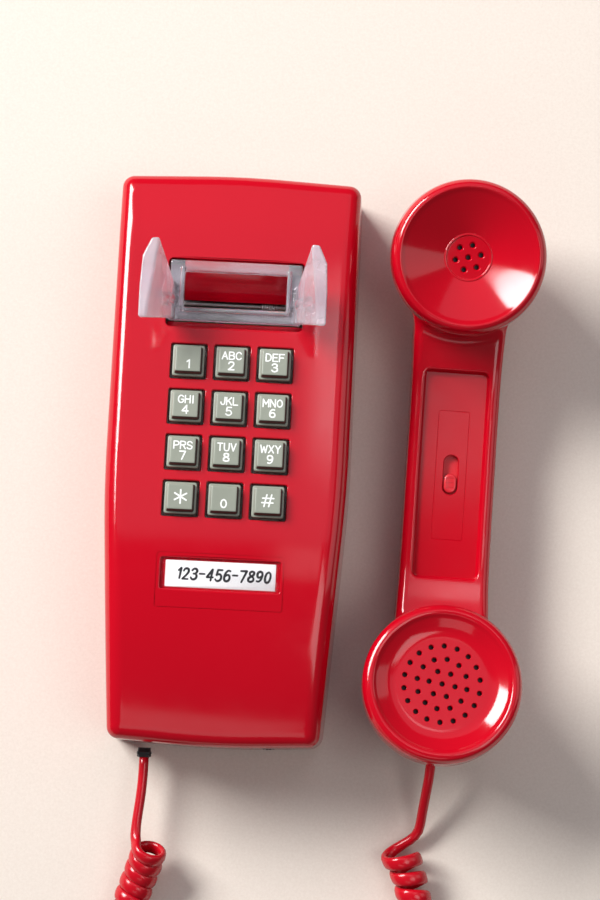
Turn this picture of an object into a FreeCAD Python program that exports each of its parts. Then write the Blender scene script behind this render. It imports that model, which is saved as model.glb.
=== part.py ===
import FreeCAD, Part
import os
import math

V = FreeCAD.Vector
ROT = FreeCAD.Rotation
PLC = FreeCAD.Placement

# ---------------------------------------------------------------- dimensions
# Wall telephone lying on its back, handset off the hook beside it. Millimetres.
# +X right, +Y towards the top of the phone, +Z out of the face, z = 0 the wall side.

HALF_W_TOP = 47.4        # half width of the housing at its back rim, upper half
HALF_W_BOTTOM = 41.2     # half width at the bottom end
TAPER_START_Y = -14.0    # where the sides start to run in
TOP_Y = 107.2            # top edge at the corners
BOTTOM_Y = -110.0        # bottom edge at the corners
TOP_BOW = 1.7            # how far the top edge bows out in the middle
BOTTOM_BOW = 2.2
CORNER_R = 5.5
DRAFT = 0.045            # side wall lean per millimetre of height
WALL = 2.5               # housing wall
FRONT_R = 4.0            # rounding of the front edge
CROWN = 1.6              # fall of the front face from the centre line to x = 45

# height of the front face along the centre line: y, z, slope
PROFILE = [(-122.0, 42.4, 0.37), (-112.0, 46.0, 0.33), (-88.0, 52.7, 0.22), (-64.0, 56.4, 0.09),
           (-48.0, 57.0, -0.03), (-28.0, 55.8, -0.0918), (70.0, 46.8, -0.0918), (84.0, 45.1, -0.19),
           (100.0, 41.0, -0.28), (118.0, 35.6, -0.31)]

KEY_PITCH_X = 16.15
KEY_PITCH_Y = 17.35
KEY_CENTRE_Y = 6.9
KEY_FLANGE = 12.7        # square flange of a key
KEY_TOP = 9.6            # raised square top
KEY_HOLE = 13.6          # square opening in the housing
KEY_TRAVEL = 3.0

CARD_W, CARD_H = 43.4, 10.6
CARD_Y = -46.7

HOOK_PIVOT_Y, HOOK_PIVOT_Z = 58.0, 30.0
HOOK_PIN_R = 2.0
HOOK_HALF_W = 34.6       # outside of the cradle's ears
HOOK_FRAME_HALF = 24.0

STUD_SPACING = 101.6     # wall plate studs, vertical
STUD_CENTRE_Y = 18.0
STUD_ENTRY_R = 4.6
STUD_NECK_R = 2.6

HANDSET_X, HANDSET_Y, HANDSET_TURN = 85.15, -2.65, -1.27
CAP_SPACING = 158.4      # between the centres of the two caps
CAP_R = 29.1
CAP_TILT = 8.0
CAP_RIM_Z = 56.0
HANDLE_W = 34.0

CORD_D = 4.0             # jacket
COIL_D = 14.0            # outside of the coil
JACK_X, JACK_Z = -27.0, 12.0

# ---------------------------------------------------------------- helpers
os.makedirs("parts", exist_ok=True)
made = []


def save(name, shape):
    solids = shape.Solids
    if len(solids) == 1:
        shape = solids[0]
    else:
        shape = Part.makeCompound(solids)
    ok = all(s.isValid() and s.isClosed() for s in solids)
    bb = shape.BoundBox
    print("%-22s solids %2d valid %s vol %10.1f  x %7.1f %7.1f y %7.1f %7.1f z %6.1f %6.1f" % (
        name, len(solids), ok, shape.Volume, bb.XMin, bb.XMax, bb.YMin, bb.YMax, bb.ZMin, bb.ZMax))
    shape.exportStep("parts/%s.step" % name)
    made.append(name)


def box(x0, x1, y0, y1, z0, z1):
    return Part.makeBox(x1 - x0, y1 - y0, z1 - z0, V(x0, y0, z0))


def cyl(r, h, p, d=(0, 0, 1)):
    return Part.makeCylinder(r, h, V(*p), V(*d))


def cone(r0, r1, h, p, d=(0, 0, 1)):
    return Part.makeCone(r0, r1, h, V(*p), V(*d))


def prism(points, z0, z1):
    pts = [V(x, y, z0) for x, y in points]
    return Part.Face(Part.makePolygon(pts + pts[:1])).extrude(V(0, 0, z1 - z0))


def rounded_wire(points, radii, z):
    """Closed wire of straight lines with a tangent arc at each point."""
    n = len(points)
    ends = []
    for i in range(n):
        p = V(points[i][0], points[i][1], z)
        a = V(points[i - 1][0], points[i - 1][1], z) - p
        b = V(points[(i + 1) % n][0], points[(i + 1) % n][1], z) - p
        a.normalize()
        b.normalize()
        turn = math.pi - a.getAngle(b)
        t = radii[i] * math.tan(turn / 2)
        s, e = p + a * t, p + b * t
        m = (a + b)
        m.normalize()
        c = p + m * (radii[i] / math.cos(turn / 2))
        mid = c + (p - c).normalize() * radii[i]
        ends.append((s, mid, e))
    edges = []
    for i in range(n):
        s, mid, e = ends[i]
        edges.append(Part.Arc(s, mid, e).toShape())
        edges.append(Part.LineSegment(e, ends[(i + 1) % n][0]).toShape())
    return Part.Wire(edges)


def rbox(x0, x1, y0, y1, z0, z1, r):
    w = rounded_wire([(x0, y0), (x1, y0), (x1, y1), (x0, y1)], [r] * 4, z0)
    return Part.Face(w).extrude(V(0, 0, z1 - z0))


def revolved(profile, closed_on_axis=True):
    """Solid of revolution about Z of (r, z) points."""
    pts = [V(r, 0, z) for r, z in profile]
    face = Part.Face(Part.makePolygon(pts + pts[:1]))
    return face.revolve(V(0, 0, 0), V(0, 0, 1), 360)


def fuse(first, *rest):
    out = first.multiFuse(list(rest)) if rest else first
    return out.removeSplitter()


def placed(shape, pl):
    s = shape.copy()
    s.Placement = pl.multiply(s.Placement)
    return s


# ---------------------------------------------------------------- front face
def front(y):
    if y <= PROFILE[0][0]:
        return PROFILE[0][1] + (y - PROFILE[0][0]) * PROFILE[0][2]
    if y >= PROFILE[-1][0]:
        return PROFILE[-1][1] + (y - PROFILE[-1][0]) * PROFILE[-1][2]
    for (y0, z0, m0), (y1, z1, m1) in zip(PROFILE[:-1], PROFILE[1:]):
        if y <= y1:
            h = y1 - y0
            t = (y - y0) / h
            return ((2 * t ** 3 - 3 * t ** 2 + 1) * z0 + (t ** 3 - 2 * t ** 2 + t) * h * m0
                    + (-2 * t ** 3 + 3 * t ** 2) * z1 + (t ** 3 - t ** 2) * h * m1)


def face_z(x, y):
    return front(y) - CROWN * (x / 45.0) ** 2


def outline(z, inset=0.0):
    k = inset + DRAFT * z
    pts = [(HALF_W_TOP - k, TOP_Y - k), (0.0, TOP_Y + TOP_BOW - k), (-HALF_W_TOP + k, TOP_Y - k),
           (-HALF_W_TOP + k, TAPER_START_Y), (-HALF_W_BOTTOM + k, BOTTOM_Y + k),
           (0.0, BOTTOM_Y - BOTTOM_BOW + k), (HALF_W_BOTTOM - k, BOTTOM_Y + k), (HALF_W_TOP - k, TAPER_START_Y)]
    c = max(CORNER_R - inset, 2.0)
    radii = [c, 420.0, c, 520.0, c, 330.0, c, 520.0]
    return rounded_wire(pts, radii, z)


def under_face(lower):
    rows = []
    for i in range(31):
        y = -128.0 + i * (256.0 / 30)
        rows.append([V(x, y, face_z(x, y) - lower) for x in [-56 + 112 * j / 10.0 for j in range(11)]])
    surf = Part.BSplineSurface()
    surf.interpolate(rows)
    return surf.toShape().extrude(V(0, 0, -140))


def housing_block(inset, z0):
    body = Part.makeLoft([outline(z0, inset), outline(66.0, inset)], True, True)
    return body.common(under_face(inset))


outer = housing_block(0.0, 0.0)
top_edges = []
for e in outer.Edges:
    bb = e.BoundBox
    mid = e.valueAt((e.FirstParameter + e.LastParameter) / 2)
    if mid.z > 20 and abs(mid.z - face_z(mid.x, mid.y)) < 0.2 and bb.ZMin > 20:
        top_edges.append(e)
print("front edges", len(top_edges))
for r in (FRONT_R, 3.0, 2.0):
    try:
        f = outer.makeFillet(r, top_edges)
        if f.isValid() and f.Volume > 0.9 * outer.Volume:
            outer = f
            print("front edge rounded", r)
            break
    except Exception as err:
        print("fillet", r, err)

inner = housing_block(WALL, -3.0)
shell = outer.cut(inner)

# local frame of the keypad, in the plane of the front face
KP_TILT = math.degrees(math.atan(0.0918))
KP = PLC(V(0, KEY_CENTRE_Y, front(KEY_CENTRE_Y)), ROT(V(1, 0, 0), -KP_TILT))

key_names = [["key_1", "key_2", "key_3"], ["key_4", "key_5", "key_6"], ["key_7", "key_8", "key_9"],
             ["key_star", "key_0", "key_hash"]]
key_xy = {}
for r in range(4):
    for c in range(3):
        key_xy[key_names[r][c]] = ((c - 1) * KEY_PITCH_X, (1.5 - r) * KEY_PITCH_Y)

BOSS = [(-25.6, -35.6), (25.6, -35.6), (-25.6, 35.6), (25.6, 35.6)]
adds = []
cuts = []
for x, y in BOSS:
    adds.append(placed(cyl(2.9, 5.6, (x, y, -7.0)), KP))
# bosses for the two screws that hold the back plate
PLATE_SCREWS = [(0.0, 97.0), (0.0, -100.0)]
for x, y in PLATE_SCREWS:
    adds.append(cyl(4.0, front(y) - 1.8 - 1.7, (x, y, 1.7)))
    cuts.append(cyl(1.5, 16.0, (x, y, 1.0)))
# pad under the card and red pocket under the cradle
adds.append(box(-24.0, 24.0, CARD_Y - 7.4, CARD_Y + 7.4, 53.0, 54.7))
pocket = Part.Face(Part.makePolygon([V(-19.6, 71.6, 45.1), V(-19.6, 73.4, 44.2), V(-19.6, 55.2, 33.4),
                                     V(-19.6, 54.2, 35.2), V(-19.6, 66.0, 42.2), V(-19.6, 71.6, 45.1)])).extrude(V(39.2, 0, 0))
adds.append(pocket)
shell = fuse(shell, *adds)
for name, (x, y) in key_xy.items():
    h = KEY_HOLE / 2
    cuts.append(placed(rbox(x - h, x + h, y - h, y + h, -6.5, 6.0, 0.7), KP))
for x, y in BOSS:
    cuts.append(placed(cyl(1.2, 5.0, (x, y, -7.5)), KP))
# opening for the cradle
HOOK_Y0, HOOK_Y1 = 44.4, 72.4
cuts.append(rbox(-25.6, 25.6, HOOK_Y0, HOOK_Y1, 38.0, 70.0, 1.5).cut(pocket))
# card pocket
cuts.append(rbox(-22.1, 22.1, CARD_Y - 5.75, CARD_Y + 5.75, 55.2, 62.0, 0.8))
# jack opening and thumbwheel slot in the bottom wall
cuts.append(box(JACK_X - 6.7, JACK_X + 6.7, -118, -104, JACK_Z - 5.8, JACK_Z + 5.8))
WHEEL_X, WHEEL_Y, WHEEL_Z, WHEEL_R = 20.0, -100.7, 17.0, 10.6
cuts.append(box(WHEEL_X - 9.0, WHEEL_X + 9.0, -118, -100, WHEEL_Z - 2.3, WHEEL_Z + 2.3))
housing = shell
for c in cuts:
    housing = housing.cut(c)
housing = housing.removeSplitter()
save("housing", housing)

# ---------------------------------------------------------------- back plate
plate = Part.Face(outline(0.0, WALL + 0.3)).extrude(V(0, 0, 1.6))
for s in (-1, 1):
    y = STUD_CENTRE_Y + s * STUD_SPACING / 2
    plate = plate.cut(cyl(STUD_ENTRY_R, 4, (0, y, -1)))
    plate = plate.cut(fuse(box(-STUD_NECK_R, STUD_NECK_R, y, y + 9.0, -1, 3), cyl(STUD_NECK_R, 4, (0, y + 9.0, -1))))
plate = plate.cut(rbox(-12.0, 12.0, STUD_CENTRE_Y - 9.0, STUD_CENTRE_Y + 9.0, -1, 3, 2.0))
for x, y in PLATE_SCREWS:
    plate = plate.cut(cyl(1.9, 4, (x, y, -1)))
    plate = plate.cut(cone(3.5, 1.9, 1.6, (x, y, 0)))
STANDOFF = [(-31.0, -29.0), (31.0, -29.0), (-31.0, 70.0), (31.0, 70.0)]
save("base_plate", plate.removeSplitter())

screws = []
for x, y in PLATE_SCREWS:
    s = fuse(cone(3.3, 1.55, 1.6, (x, y, 0.15)), cyl(1.5, 12.0, (x, y, 1.0)))
    s = s.cut(box(x - 2.0, x + 2.0, y - 0.35, y + 0.35, -1, 0.9)).cut(box(x - 0.35, x + 0.35, y - 2.0, y + 2.0, -1, 0.9))
    screws.append(s)
save("housing_screws", Part.makeCompound(screws))

# ---------------------------------------------------------------- keypad
bracket = box(-27.5, 27.5, -38.0, 38.0, -8.2, -7.0)
for name, (x, y) in key_xy.items():
    bracket = bracket.cut(box(x - 4.3, x + 4.3, y - 4.3, y + 4.3, -9, -6))
for x, y in BOSS:
    bracket = bracket.fuse(cyl(2.4, 5.2, (x, y, -13.4)))
bracket = bracket.removeSplitter()
for x, y in BOSS:
    bracket = bracket.cut(cyl(1.35, 9.0, (x, y, -14)))
save("keypad_bracket", placed(bracket, KP))

membrane = box(-24.5, 24.5, -32.8, 32.8, -13.4, -12.9)
for name, (x, y) in key_xy.items():
    membrane = membrane.fuse(cone(4.2, 2.6, 0.45, (x, y, -12.9)))
save("keypad_membrane", placed(membrane.removeSplitter(), KP))

kp_pcb = box(-28.0, 28.0, -38.5, 38.5, -15.0, -13.4)
for x, y in BOSS:
    kp_pcb = kp_pcb.cut(cyl(1.35, 4, (x, y, -16)))
save("keypad_pcb", placed(kp_pcb, KP))

screws = []
for x, y in BOSS:
    screws.append(placed(fuse(cyl(1.2, 12.0, (x, y, -15.0)), cyl(2.3, 1.5, (x, y, -16.5))).cut(
        box(x - 1.6, x + 1.6, y - 0.3, y + 0.3, -17, -15.9)), KP))
save("keypad_screws", Part.makeCompound(screws))


def key_solid(x, y):
    f, t = KEY_FLANGE / 2, KEY_TOP / 2
    base = rbox(x - f, x + f, y - f, y + f, -2.5, 0.9, 0.8)
    foot = t + 0.35
    w0 = rounded_wire([(x - foot, y - foot), (x + foot, y - foot), (x + foot, y + foot), (x - foot, y + foot)], [0.8] * 4, 0.9)
    w1 = rounded_wire([(x - t, y - t), (x + t, y - t), (x + t, y + t), (x - t, y + t)], [0.6] * 4, 3.5)
    top = Part.makeLoft([w0, w1], True, True)
    stem = box(x - 4.0, x + 4.0, y - 4.0, y + 4.0, -9.2, -2.5)
    return fuse(base, top, stem)


for name, (x, y) in key_xy.items():
    save(name, placed(key_solid(x, y), KP))

# ---------------------------------------------------------------- card
save("number_card", box(-CARD_W / 2, CARD_W / 2, CARD_Y - CARD_H / 2, CARD_Y + CARD_H / 2, 55.2, 55.5))
save("card_window", rbox(-21.9, 21.9, CARD_Y - 5.55, CARD_Y + 5.55, 55.5, 56.4, 0.6))

# ---------------------------------------------------------------- main board and its parts
pcb = box(-35.0, 35.0, -34.0, 76.0, 16.0, 17.6)
for x, y in STANDOFF:
    pcb = pcb.cut(cyl(1.6, 4, (x, y, 15)))
save("main_pcb", pcb)
posts = []
for x, y in STANDOFF:
    posts.append(cyl(3.0, 14.4, (x, y, 1.6)).cut(cyl(1.5, 9.0, (x, y, 8.0))))
save("standoffs", Part.makeCompound(posts))
screws = []
for x, y in STANDOFF:
    screws.append(fuse(cyl(1.5, 8.0, (x, y, 9.6)), cyl(2.8, 1.8, (x, y, 17.6))).cut(box(x - 2, x + 2, y - 0.35, y + 0.35, 18.6, 20)))
save("pcb_screws", Part.makeCompound(screws))

core = fuse(box(-24, -4, -22, -4, 17.6, 33.0), box(-22, -6, -26, 0, 20.0, 30.5))
save("line_transformer", core)
caps = [cyl(5.0, 12.0, (12, -14, 17.6)), cyl(4.0, 11.0, (24, -14, 17.6)), cyl(3.2, 9.0, (8, 2, 17.6))]
save("capacitors", Part.makeCompound(caps))
save("film_capacitor", rbox(12.0, 22.0, 45.0, 50.0, 17.6, 31.0, 1.6))

switch = fuse(box(-27.6, -18.0, 63.0, 73.0, 17.6, 27.5), box(-25.5, -21.5, 62.4, 63.4, 21.5, 24.5))
save("hook_switch", switch)

# wall connector, recessed so that the phone hangs flat
plug_wall = fuse(box(-4.85, 4.85, STUD_CENTRE_Y - 3.3, STUD_CENTRE_Y + 3.3, 0.8, 16.0),
                 box(-3.0, 3.0, STUD_CENTRE_Y + 3.3, STUD_CENTRE_Y + 4.4, 2.0, 11.0))
save("wall_jack_plug", plug_wall)


def tube(points, radii, d, report=None):
    """Tube of straight runs joined by tangent arcs. Radii None: 0.45 of the shorter run over tan of half the turn."""
    pts = [V(*p) for p in points]
    edges = []
    cur = pts[0]
    length = 0.0
    out = []
    for i in range(1, len(pts) - 1):
        a = pts[i - 1] - pts[i]
        b = pts[i + 1] - pts[i]
        run = min(a.Length, b.Length)
        a.normalize()
        b.normalize()
        turn = math.pi - a.getAngle(b)
        if turn < 0.002:
            out.append((i, round(math.degrees(turn), 2), "straight"))
            continue
        r = 0.45 * run / math.tan(turn / 2) if radii is None else radii
        t = r * math.tan(turn / 2)
        s, e = pts[i] + a * t, pts[i] + b * t
        m = a + b
        m.normalize()
        c = pts[i] + m * (r / math.cos(turn / 2))
        mid = c + (pts[i] - c).normalize() * r
        edges.append(Part.LineSegment(cur, s).toShape())
        edges.append(Part.Arc(s, mid, e).toShape())
        length += (s - cur).Length + r * turn
        out.append((i, round(math.degrees(turn), 1), round(r, 1), round(run, 1)))
        cur = e
    edges.append(Part.LineSegment(cur, pts[-1]).toShape())
    length += (pts[-1] - cur).Length
    path = Part.Wire(edges)
    d0 = pts[1] - pts[0]
    prof = Part.Wire([Part.Circle(pts[0], d0, d / 2.0).toShape()])
    solid = path.makePipeShell([prof], True, False, 2)
    if solid.Volume < 0:
        solid.reverse()
    want = math.pi * d * d / 4 * length
    if report:
        print(report, "length %.1f" % length, "volume / (section x length) %.4f" % (solid.Volume / want))
        print("   point, turn deg, radius, shorter run:", out)
    return solid


# four wires from the main board to the keypad board, seen through the cradle
wb, wy = [], []
wb.append(tube([(-12, 40, 17.6), (-12, 40, 25), (-9, 46, 31), (3, 49.5, 31.5), (11, 42, 31)], None, 1.7))
wb.append(tube([(-15.5, 41, 17.6), (-15.5, 41, 24), (-14.5, 47, 28.5), (-4, 51.5, 29.0), (6, 43, 28.0)], None, 1.7))
wy.append(tube([(-8.5, 39.5, 17.6), (-8.5, 39.5, 24), (-4.5, 43.5, 28.5), (2, 45.6, 32.4), (7.5, 40.8, 31.4)], None, 1.7))
save("wires_blue", Part.makeCompound(wb))
save("wires_yellow", Part.makeCompound(wy))

# ---------------------------------------------------------------- hook cradle
def ear(side):
    low = [(21.4, 48.4), (24.0, 48.0), (24.4, 56.0), (24.4, 66.6), (22.4, 68.6), (21.4, 60.0)]
    mid = [(23.6, 47.0), (26.8, 46.6), (28.0, 56.0), (27.6, 68.2), (23.8, 71.0), (23.4, 62.0)]
    high = [(31.4, 44.6), (34.6, 44.4), (34.6, 57.0), (33.9, 69.0), (27.6, 75.2), (26.0, 73.2)]
    wires = []
    for pts, z in ((low, 46.5), (mid, 57.0), (high, 74.0)):
        p = [V(side * x, y, z) for x, y in pts]
        wires.append(Part.makePolygon(p + p[:1]))
    return Part.makeLoft(wires, True, True)


frame = box(-HOOK_FRAME_HALF, HOOK_FRAME_HALF, 47.4, 71.2, 45.6, 49.6)
frame = frame.cut(box(-19.4, 19.4, 52.6, 67.8, 44, 52))
arms = []
for s in (-1, 1):
    x0, x1 = sorted((s * 21.0, s * 24.0))
    arms.append(prism([(x0, 54.0), (x1, 54.0), (x1, 62.0), (x0, 62.0)], 30.0, 46.0))
    arms.append(cyl(4.0, 3.0, (x0, HOOK_PIVOT_Y, HOOK_PIVOT_Z), (1, 0, 0)))
toe = box(-24.0, -21.0, 55.5, 60.5, 22.0, 30.0)
cradle = fuse(frame, ear(1), ear(-1), toe, *arms)
cradle = cradle.cut(cyl(HOOK_PIN_R + 0.05, 60, (-30, HOOK_PIVOT_Y, HOOK_PIVOT_Z), (1, 0, 0)))
save("hook_cradle", cradle.removeSplitter())

save("hook_pivot_pin", cyl(HOOK_PIN_R, 53.0, (-26.5, HOOK_PIVOT_Y, HOOK_PIVOT_Z), (1, 0, 0)))
up = []
for s in (-1, 1):
    x0, x1 = sorted((s * 24.6, s * 26.2))
    x2, x3 = sorted((s * 24.6, s * 32.0))
    up.append(fuse(box(x0, x1, 52.5, 61.8, 17.6, 34.0), box(x2, x3, 52.5, 61.8, 17.6, 19.0)))
hb = Part.makeCompound([u.cut(cyl(HOOK_PIN_R, 60, (-30, HOOK_PIVOT_Y, HOOK_PIVOT_Z), (1, 0, 0))) for u in up])
save("hook_brackets", hb)
rings = [Part.makeTorus(3.05, 0.5, V(10.0 + 0.9 * k, HOOK_PIVOT_Y, HOOK_PIVOT_Z), V(1, 0, 0)) for k in range(7)]
leg = cyl(0.5, 12.6, (10.0, HOOK_PIVOT_Y + 3.05, 17.6))
save("hook_spring", fuse(rings[0], *rings[1:], leg))

# ---------------------------------------------------------------- ringer
GONG_Y = -72.0
rf = fuse(box(-36.0, 36.0, -88.0, -34.0, 8.0, 9.4), box(-33.0, -29.0, -86.0, -82.0, 1.6, 8.0), box(29.0, 33.0, -86.0, -82.0, 1.6, 8.0),
          box(-33.0, -29.0, -42.0, -38.0, 1.6, 8.0), box(29.0, 33.0, -42.0, -38.0, 1.6, 8.0),
          cyl(1.6, 7.6, (0, -52.0, 9.4)), cyl(2.4, 10.6, (-20.4, GONG_Y, 9.4)), cyl(2.4, 10.6, (20.4, GONG_Y, 9.4)))
save("ringer_frame", rf)
GONG = [(2.5, 0.0), (2.5, 1.3), (6.0, 1.3), (12.0, 0.1), (15.6, -3.4), (17.0, -8.4), (15.9, -8.4), (14.6, -4.0), (11.5, -1.1), (6.0, 0.0)]
gong = revolved(GONG)
for name, x in (("gong_left", -20.4), ("gong_right", 20.4)):
    g = gong.copy()
    g.translate(V(x, GONG_Y, 20.0))
    save(name, g)
gs = []
for x in (-20.4, 20.4):
    gs.append(fuse(cyl(2.2, 1.5, (x, GONG_Y, 20.0)), cyl(3.6, 1.8, (x, GONG_Y, 21.5))).cut(box(x - 3, x + 3, GONG_Y - 0.4, GONG_Y + 0.4, 22.4, 24)))
save("gong_screws", Part.makeCompound(gs))
coil = fuse(cyl(6.5, 24.0, (-12, -41.5, 18.5), (1, 0, 0)), box(-14.0, -12.0, -49.5, -34.6, 9.4, 27.0), box(12.0, 14.0, -49.5, -34.6, 9.4, 27.0))
save("ringer_coil", coil)
clap = fuse(cyl(3.2, 3.0, (0, -52.0, 12.0)), box(-0.7, 0.7, -72.0, -52.0, 12.6, 14.2), Part.makeSphere(2.1, V(0, GONG_Y - 1.0, 13.4)))
clap = clap.cut(cyl(1.65, 6, (0, -52.0, 11.0)))
save("clapper", clap)

wheel = revolved([(1.65, -1.6), (WHEEL_R - 0.5, -1.6), (WHEEL_R, -1.1), (WHEEL_R, 1.1), (WHEEL_R - 0.5, 1.6), (1.65, 1.6)])
for k in range(36):
    a = math.radians(10 * k)
    wheel = wheel.cut(cyl(0.45, 4, (WHEEL_R * math.cos(a), WHEEL_R * math.sin(a), -2)))
wheel.translate(V(WHEEL_X, WHEEL_Y, WHEEL_Z))
save("ringer_volume_wheel", wheel)
spindle = fuse(cyl(1.6, 7.6, (WHEEL_X, WHEEL_Y, WHEEL_Z - 4.0)), cyl(3.6, WHEEL_Z - 3.0 - 1.6, (WHEEL_X, WHEEL_Y, 1.6)))
save("wheel_spindle", spindle)

# ---------------------------------------------------------------- cord connector in the base
jack = box(JACK_X - 6.4, JACK_X + 6.4, -112.9, -99.0, JACK_Z - 5.5, JACK_Z + 5.5)
jack = jack.cut(box(JACK_X - 3.95, JACK_X + 3.95, -113.5, -101.0, JACK_Z - 3.4, JACK_Z + 3.4))
save("base_handset_jack", jack)
PLUG_W, PLUG_H, PLUG_L = 7.7, 6.6, 12.6
bp = box(JACK_X - PLUG_W / 2, JACK_X + PLUG_W / 2, -114.2, -114.2 + PLUG_L, JACK_Z - PLUG_H / 2, JACK_Z + PLUG_H / 2)
save("base_cord_plug", bp)

# ---------------------------------------------------------------- handset
HS = PLC(V(HANDSET_X, HANDSET_Y, 0), ROT(V(0, 0, 1), HANDSET_TURN))
half = CAP_SPACING / 2
EAR = PLC(V(0, half, CAP_RIM_Z), ROT(V(1, 0, 0), CAP_TILT))
MOUTH = PLC(V(0, -half, CAP_RIM_Z), ROT(V(1, 0, 0), -CAP_TILT))


def section(y, w, z0, z1, r):
    x = w / 2
    pts = [(-x, z0), (x, z0), (x, z1), (-x, z1)]
    out = []
    wire = rounded_wire(pts, [r[0], r[0], r[1], r[1]], 0)
    m = FreeCAD.Matrix(1, 0, 0, 0, 0, 0, -1, y, 0, 1, 0, 0, 0, 0, 0, 1)
    return wire.transformGeometry(m)


secs = [(-82, 30.0, 16.6, 38.0), (-70, 34.6, 9.6, 36.6), (-56, 35.2, 4.0, 30.6), (-42, 34.4, 1.2, 26.9), (-20, 34.0, 0.1, 26.1), (0, 34.0, 0.0, 26.0),
        (20, 34.0, 0.1, 26.1), (42, 34.4, 1.2, 26.9), (56, 35.2, 4.0, 30.6), (70, 34.6, 9.6, 36.6), (82, 30.0, 16.6, 38.0)]
handle = Part.makeLoft([section(y, w, z0, z1, (10.5, 4.5)) for y, w, z0, z1 in secs], True, False)
bowl_profile = [(0, -43.0), (12.0, -42.4), (19.5, -39.6), (24.0, -33.0), (26.6, -24.0), (27.8, -12.6), (26.1, -12.4), (26.1, -5.0), (0, -5.0)]
bowl = revolved(bowl_profile)
ear_bowl, mouth_bowl = placed(bowl, EAR), placed(bowl, MOUTH)
hs = fuse(handle, ear_bowl, mouth_bowl)
jack_boss = box(-8.2, 8.2, -102.6, -82.0, 11.0, 26.0)
hs = fuse(hs, jack_boss)
# hollows: a well for each capsule, a duct along the handle
well = fuse(cyl(24.6, 30, (0, 0, -29.0)), cyl(19.0, 12, (0, 0, -35.5)))
hs = hs.cut(placed(well, EAR)).cut(placed(well, MOUTH))
hs = hs.cut(box(-11.5, 11.5, -66, 66, 9.0, 21.5))
# recessed panel between the rails, with the slot of the volume slide
hs = hs.cut(rbox(-12.3, 12.3, -39.6, 39.6, 25.0, 34.0, 2.2))
slot = fuse(box(-2.8, 2.8, -4.8, 4.8, 18, 30), cyl(2.8, 12, (0, -4.8, 18)), cyl(2.8, 12, (0, 4.8, 18)))
hs = hs.cut(slot)
# trims above the collar, and the connector pocket
HJ_Z = 18.0
hs = hs.cut(box(-6.6, 6.6, -110, -88.6, HJ_Z - 5.4, HJ_Z + 5.4))
hs = hs.removeSplitter()
print("handset solids", len(hs.Solids))
if len(hs.Solids) > 1:
    hs = sorted(hs.Solids, key=lambda s: -s.Volume)[0]
save("handset_shell", placed(hs, HS))

EAR_CAP = [(0, -9.2), (8.6, -9.2), (24.4, -0.9), (25.6, -0.15), (27.2, -0.15), (28.6, -0.9), (CAP_R, -2.4), (CAP_R - 0.2, -12.2),
           (26.4, -12.2), (26.4, -4.2), (23.6, -4.0), (8.9, -11.2), (0, -11.2)]
cap = revolved(EAR_CAP)
holes = [cyl(0.85, 6, (0, 0, -13))]
for k in range(6):
    a = math.radians(60 * k + 14)
    holes.append(cyl(0.85, 6, (4.7 * math.cos(a), 4.7 * math.sin(a), -13)))
for h in holes:
    cap = cap.cut(h)
save("ear_cap", placed(placed(cap, EAR), HS))

MOUTH_CAP = [(0, -4.2), (19.2, -4.2), (24.6, -0.9), (25.8, -0.15), (27.2, -0.15), (28.6, -0.9), (CAP_R, -2.4), (CAP_R - 0.2, -12.2),
             (26.4, -12.2), (26.4, -4.6), (24.0, -4.2), (19.8, -6.2), (0, -6.2)]
cap = revolved(MOUTH_CAP)
holes = [cyl(0.9, 6, (0, 0, -8))]
for n, r, ph in ((6, 4.6, 8), (12, 9.2, 8), (18, 13.8, 3)):
    for k in range(n):
        a = math.radians(360.0 / n * k + ph)
        holes.append(cyl(0.9, 6, (r * math.cos(a), r * math.sin(a), -8)))
for h in holes:
    cap = cap.cut(h)
save("mouth_cap", placed(placed(cap, MOUTH), HS))

rc = fuse(cyl(22.0, 9.0, (0, 0, -24.0)), cyl(18.0, 3.2, (0, 0, -15.0)), cyl(13.0, 4.8, (0, 0, -28.8)))
save("receiver_capsule", placed(placed(rc, EAR), HS))
tcap = fuse(cyl(21.0, 8.0, (0, 0, -18.0)), cone(21.0, 15.0, 3.2, (0, 0, -10.0)))
save("transmitter_capsule", placed(placed(tcap, MOUTH), HS))
tcup = cyl(24.3, 9.0, (0, 0, -27.0)).cut(cyl(21.4, 8, (0, 0, -25.2)))
tcup = tcup.fuse(cyl(6.0, 6.9, (0, 0, -25.2))).removeSplitter()
save("transmitter_cup", placed(placed(tcup, MOUTH), HS))

save("volume_board", placed(box(-8.0, 8.0, -14.0, 14.0, 17.0, 18.4), HS))
knob = fuse(box(-2.4, 2.4, -4.6, -1.9, 18.9, 25.4), cyl(2.4, 6.5, (0, -4.6, 18.9)), cyl(2.4, 6.5, (0, -1.9, 18.9)),
            box(-4.2, 4.2, -8.5, 2.0, 18.9, 20.4))
for k in range(3):
    knob = knob.cut(box(-3, 3, -5.6 + 2.0 * k, -5.0 + 2.0 * k, 25.0, 26))
save("volume_slider", placed(knob, HS))

hj = box(-6.4, 6.4, -102.0, -88.8, HJ_Z - 5.2, HJ_Z + 5.2).cut(box(-3.95, 3.95, -104, -90.5, HJ_Z - 3.4, HJ_Z + 3.4))
save("handset_jack", placed(hj, HS))
hp = box(-PLUG_W / 2, PLUG_W / 2, -104.6, -104.6 + PLUG_L, HJ_Z - PLUG_H / 2, HJ_Z + PLUG_H / 2)
save("handset_cord_plug", placed(hp, HS))

hw = tube([(3, -64.5, 13), (3, -52, 12.2), (1.0, -34, 11.6), (-1.0, -14, 11.2), (0.8, 8, 11.0), (-0.6, 30, 11.4), (0.5, 50, 12.0), (0.5, 62, 13.2)], None, 2.4)
save("handset_wires", placed(hw, HS))

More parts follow.
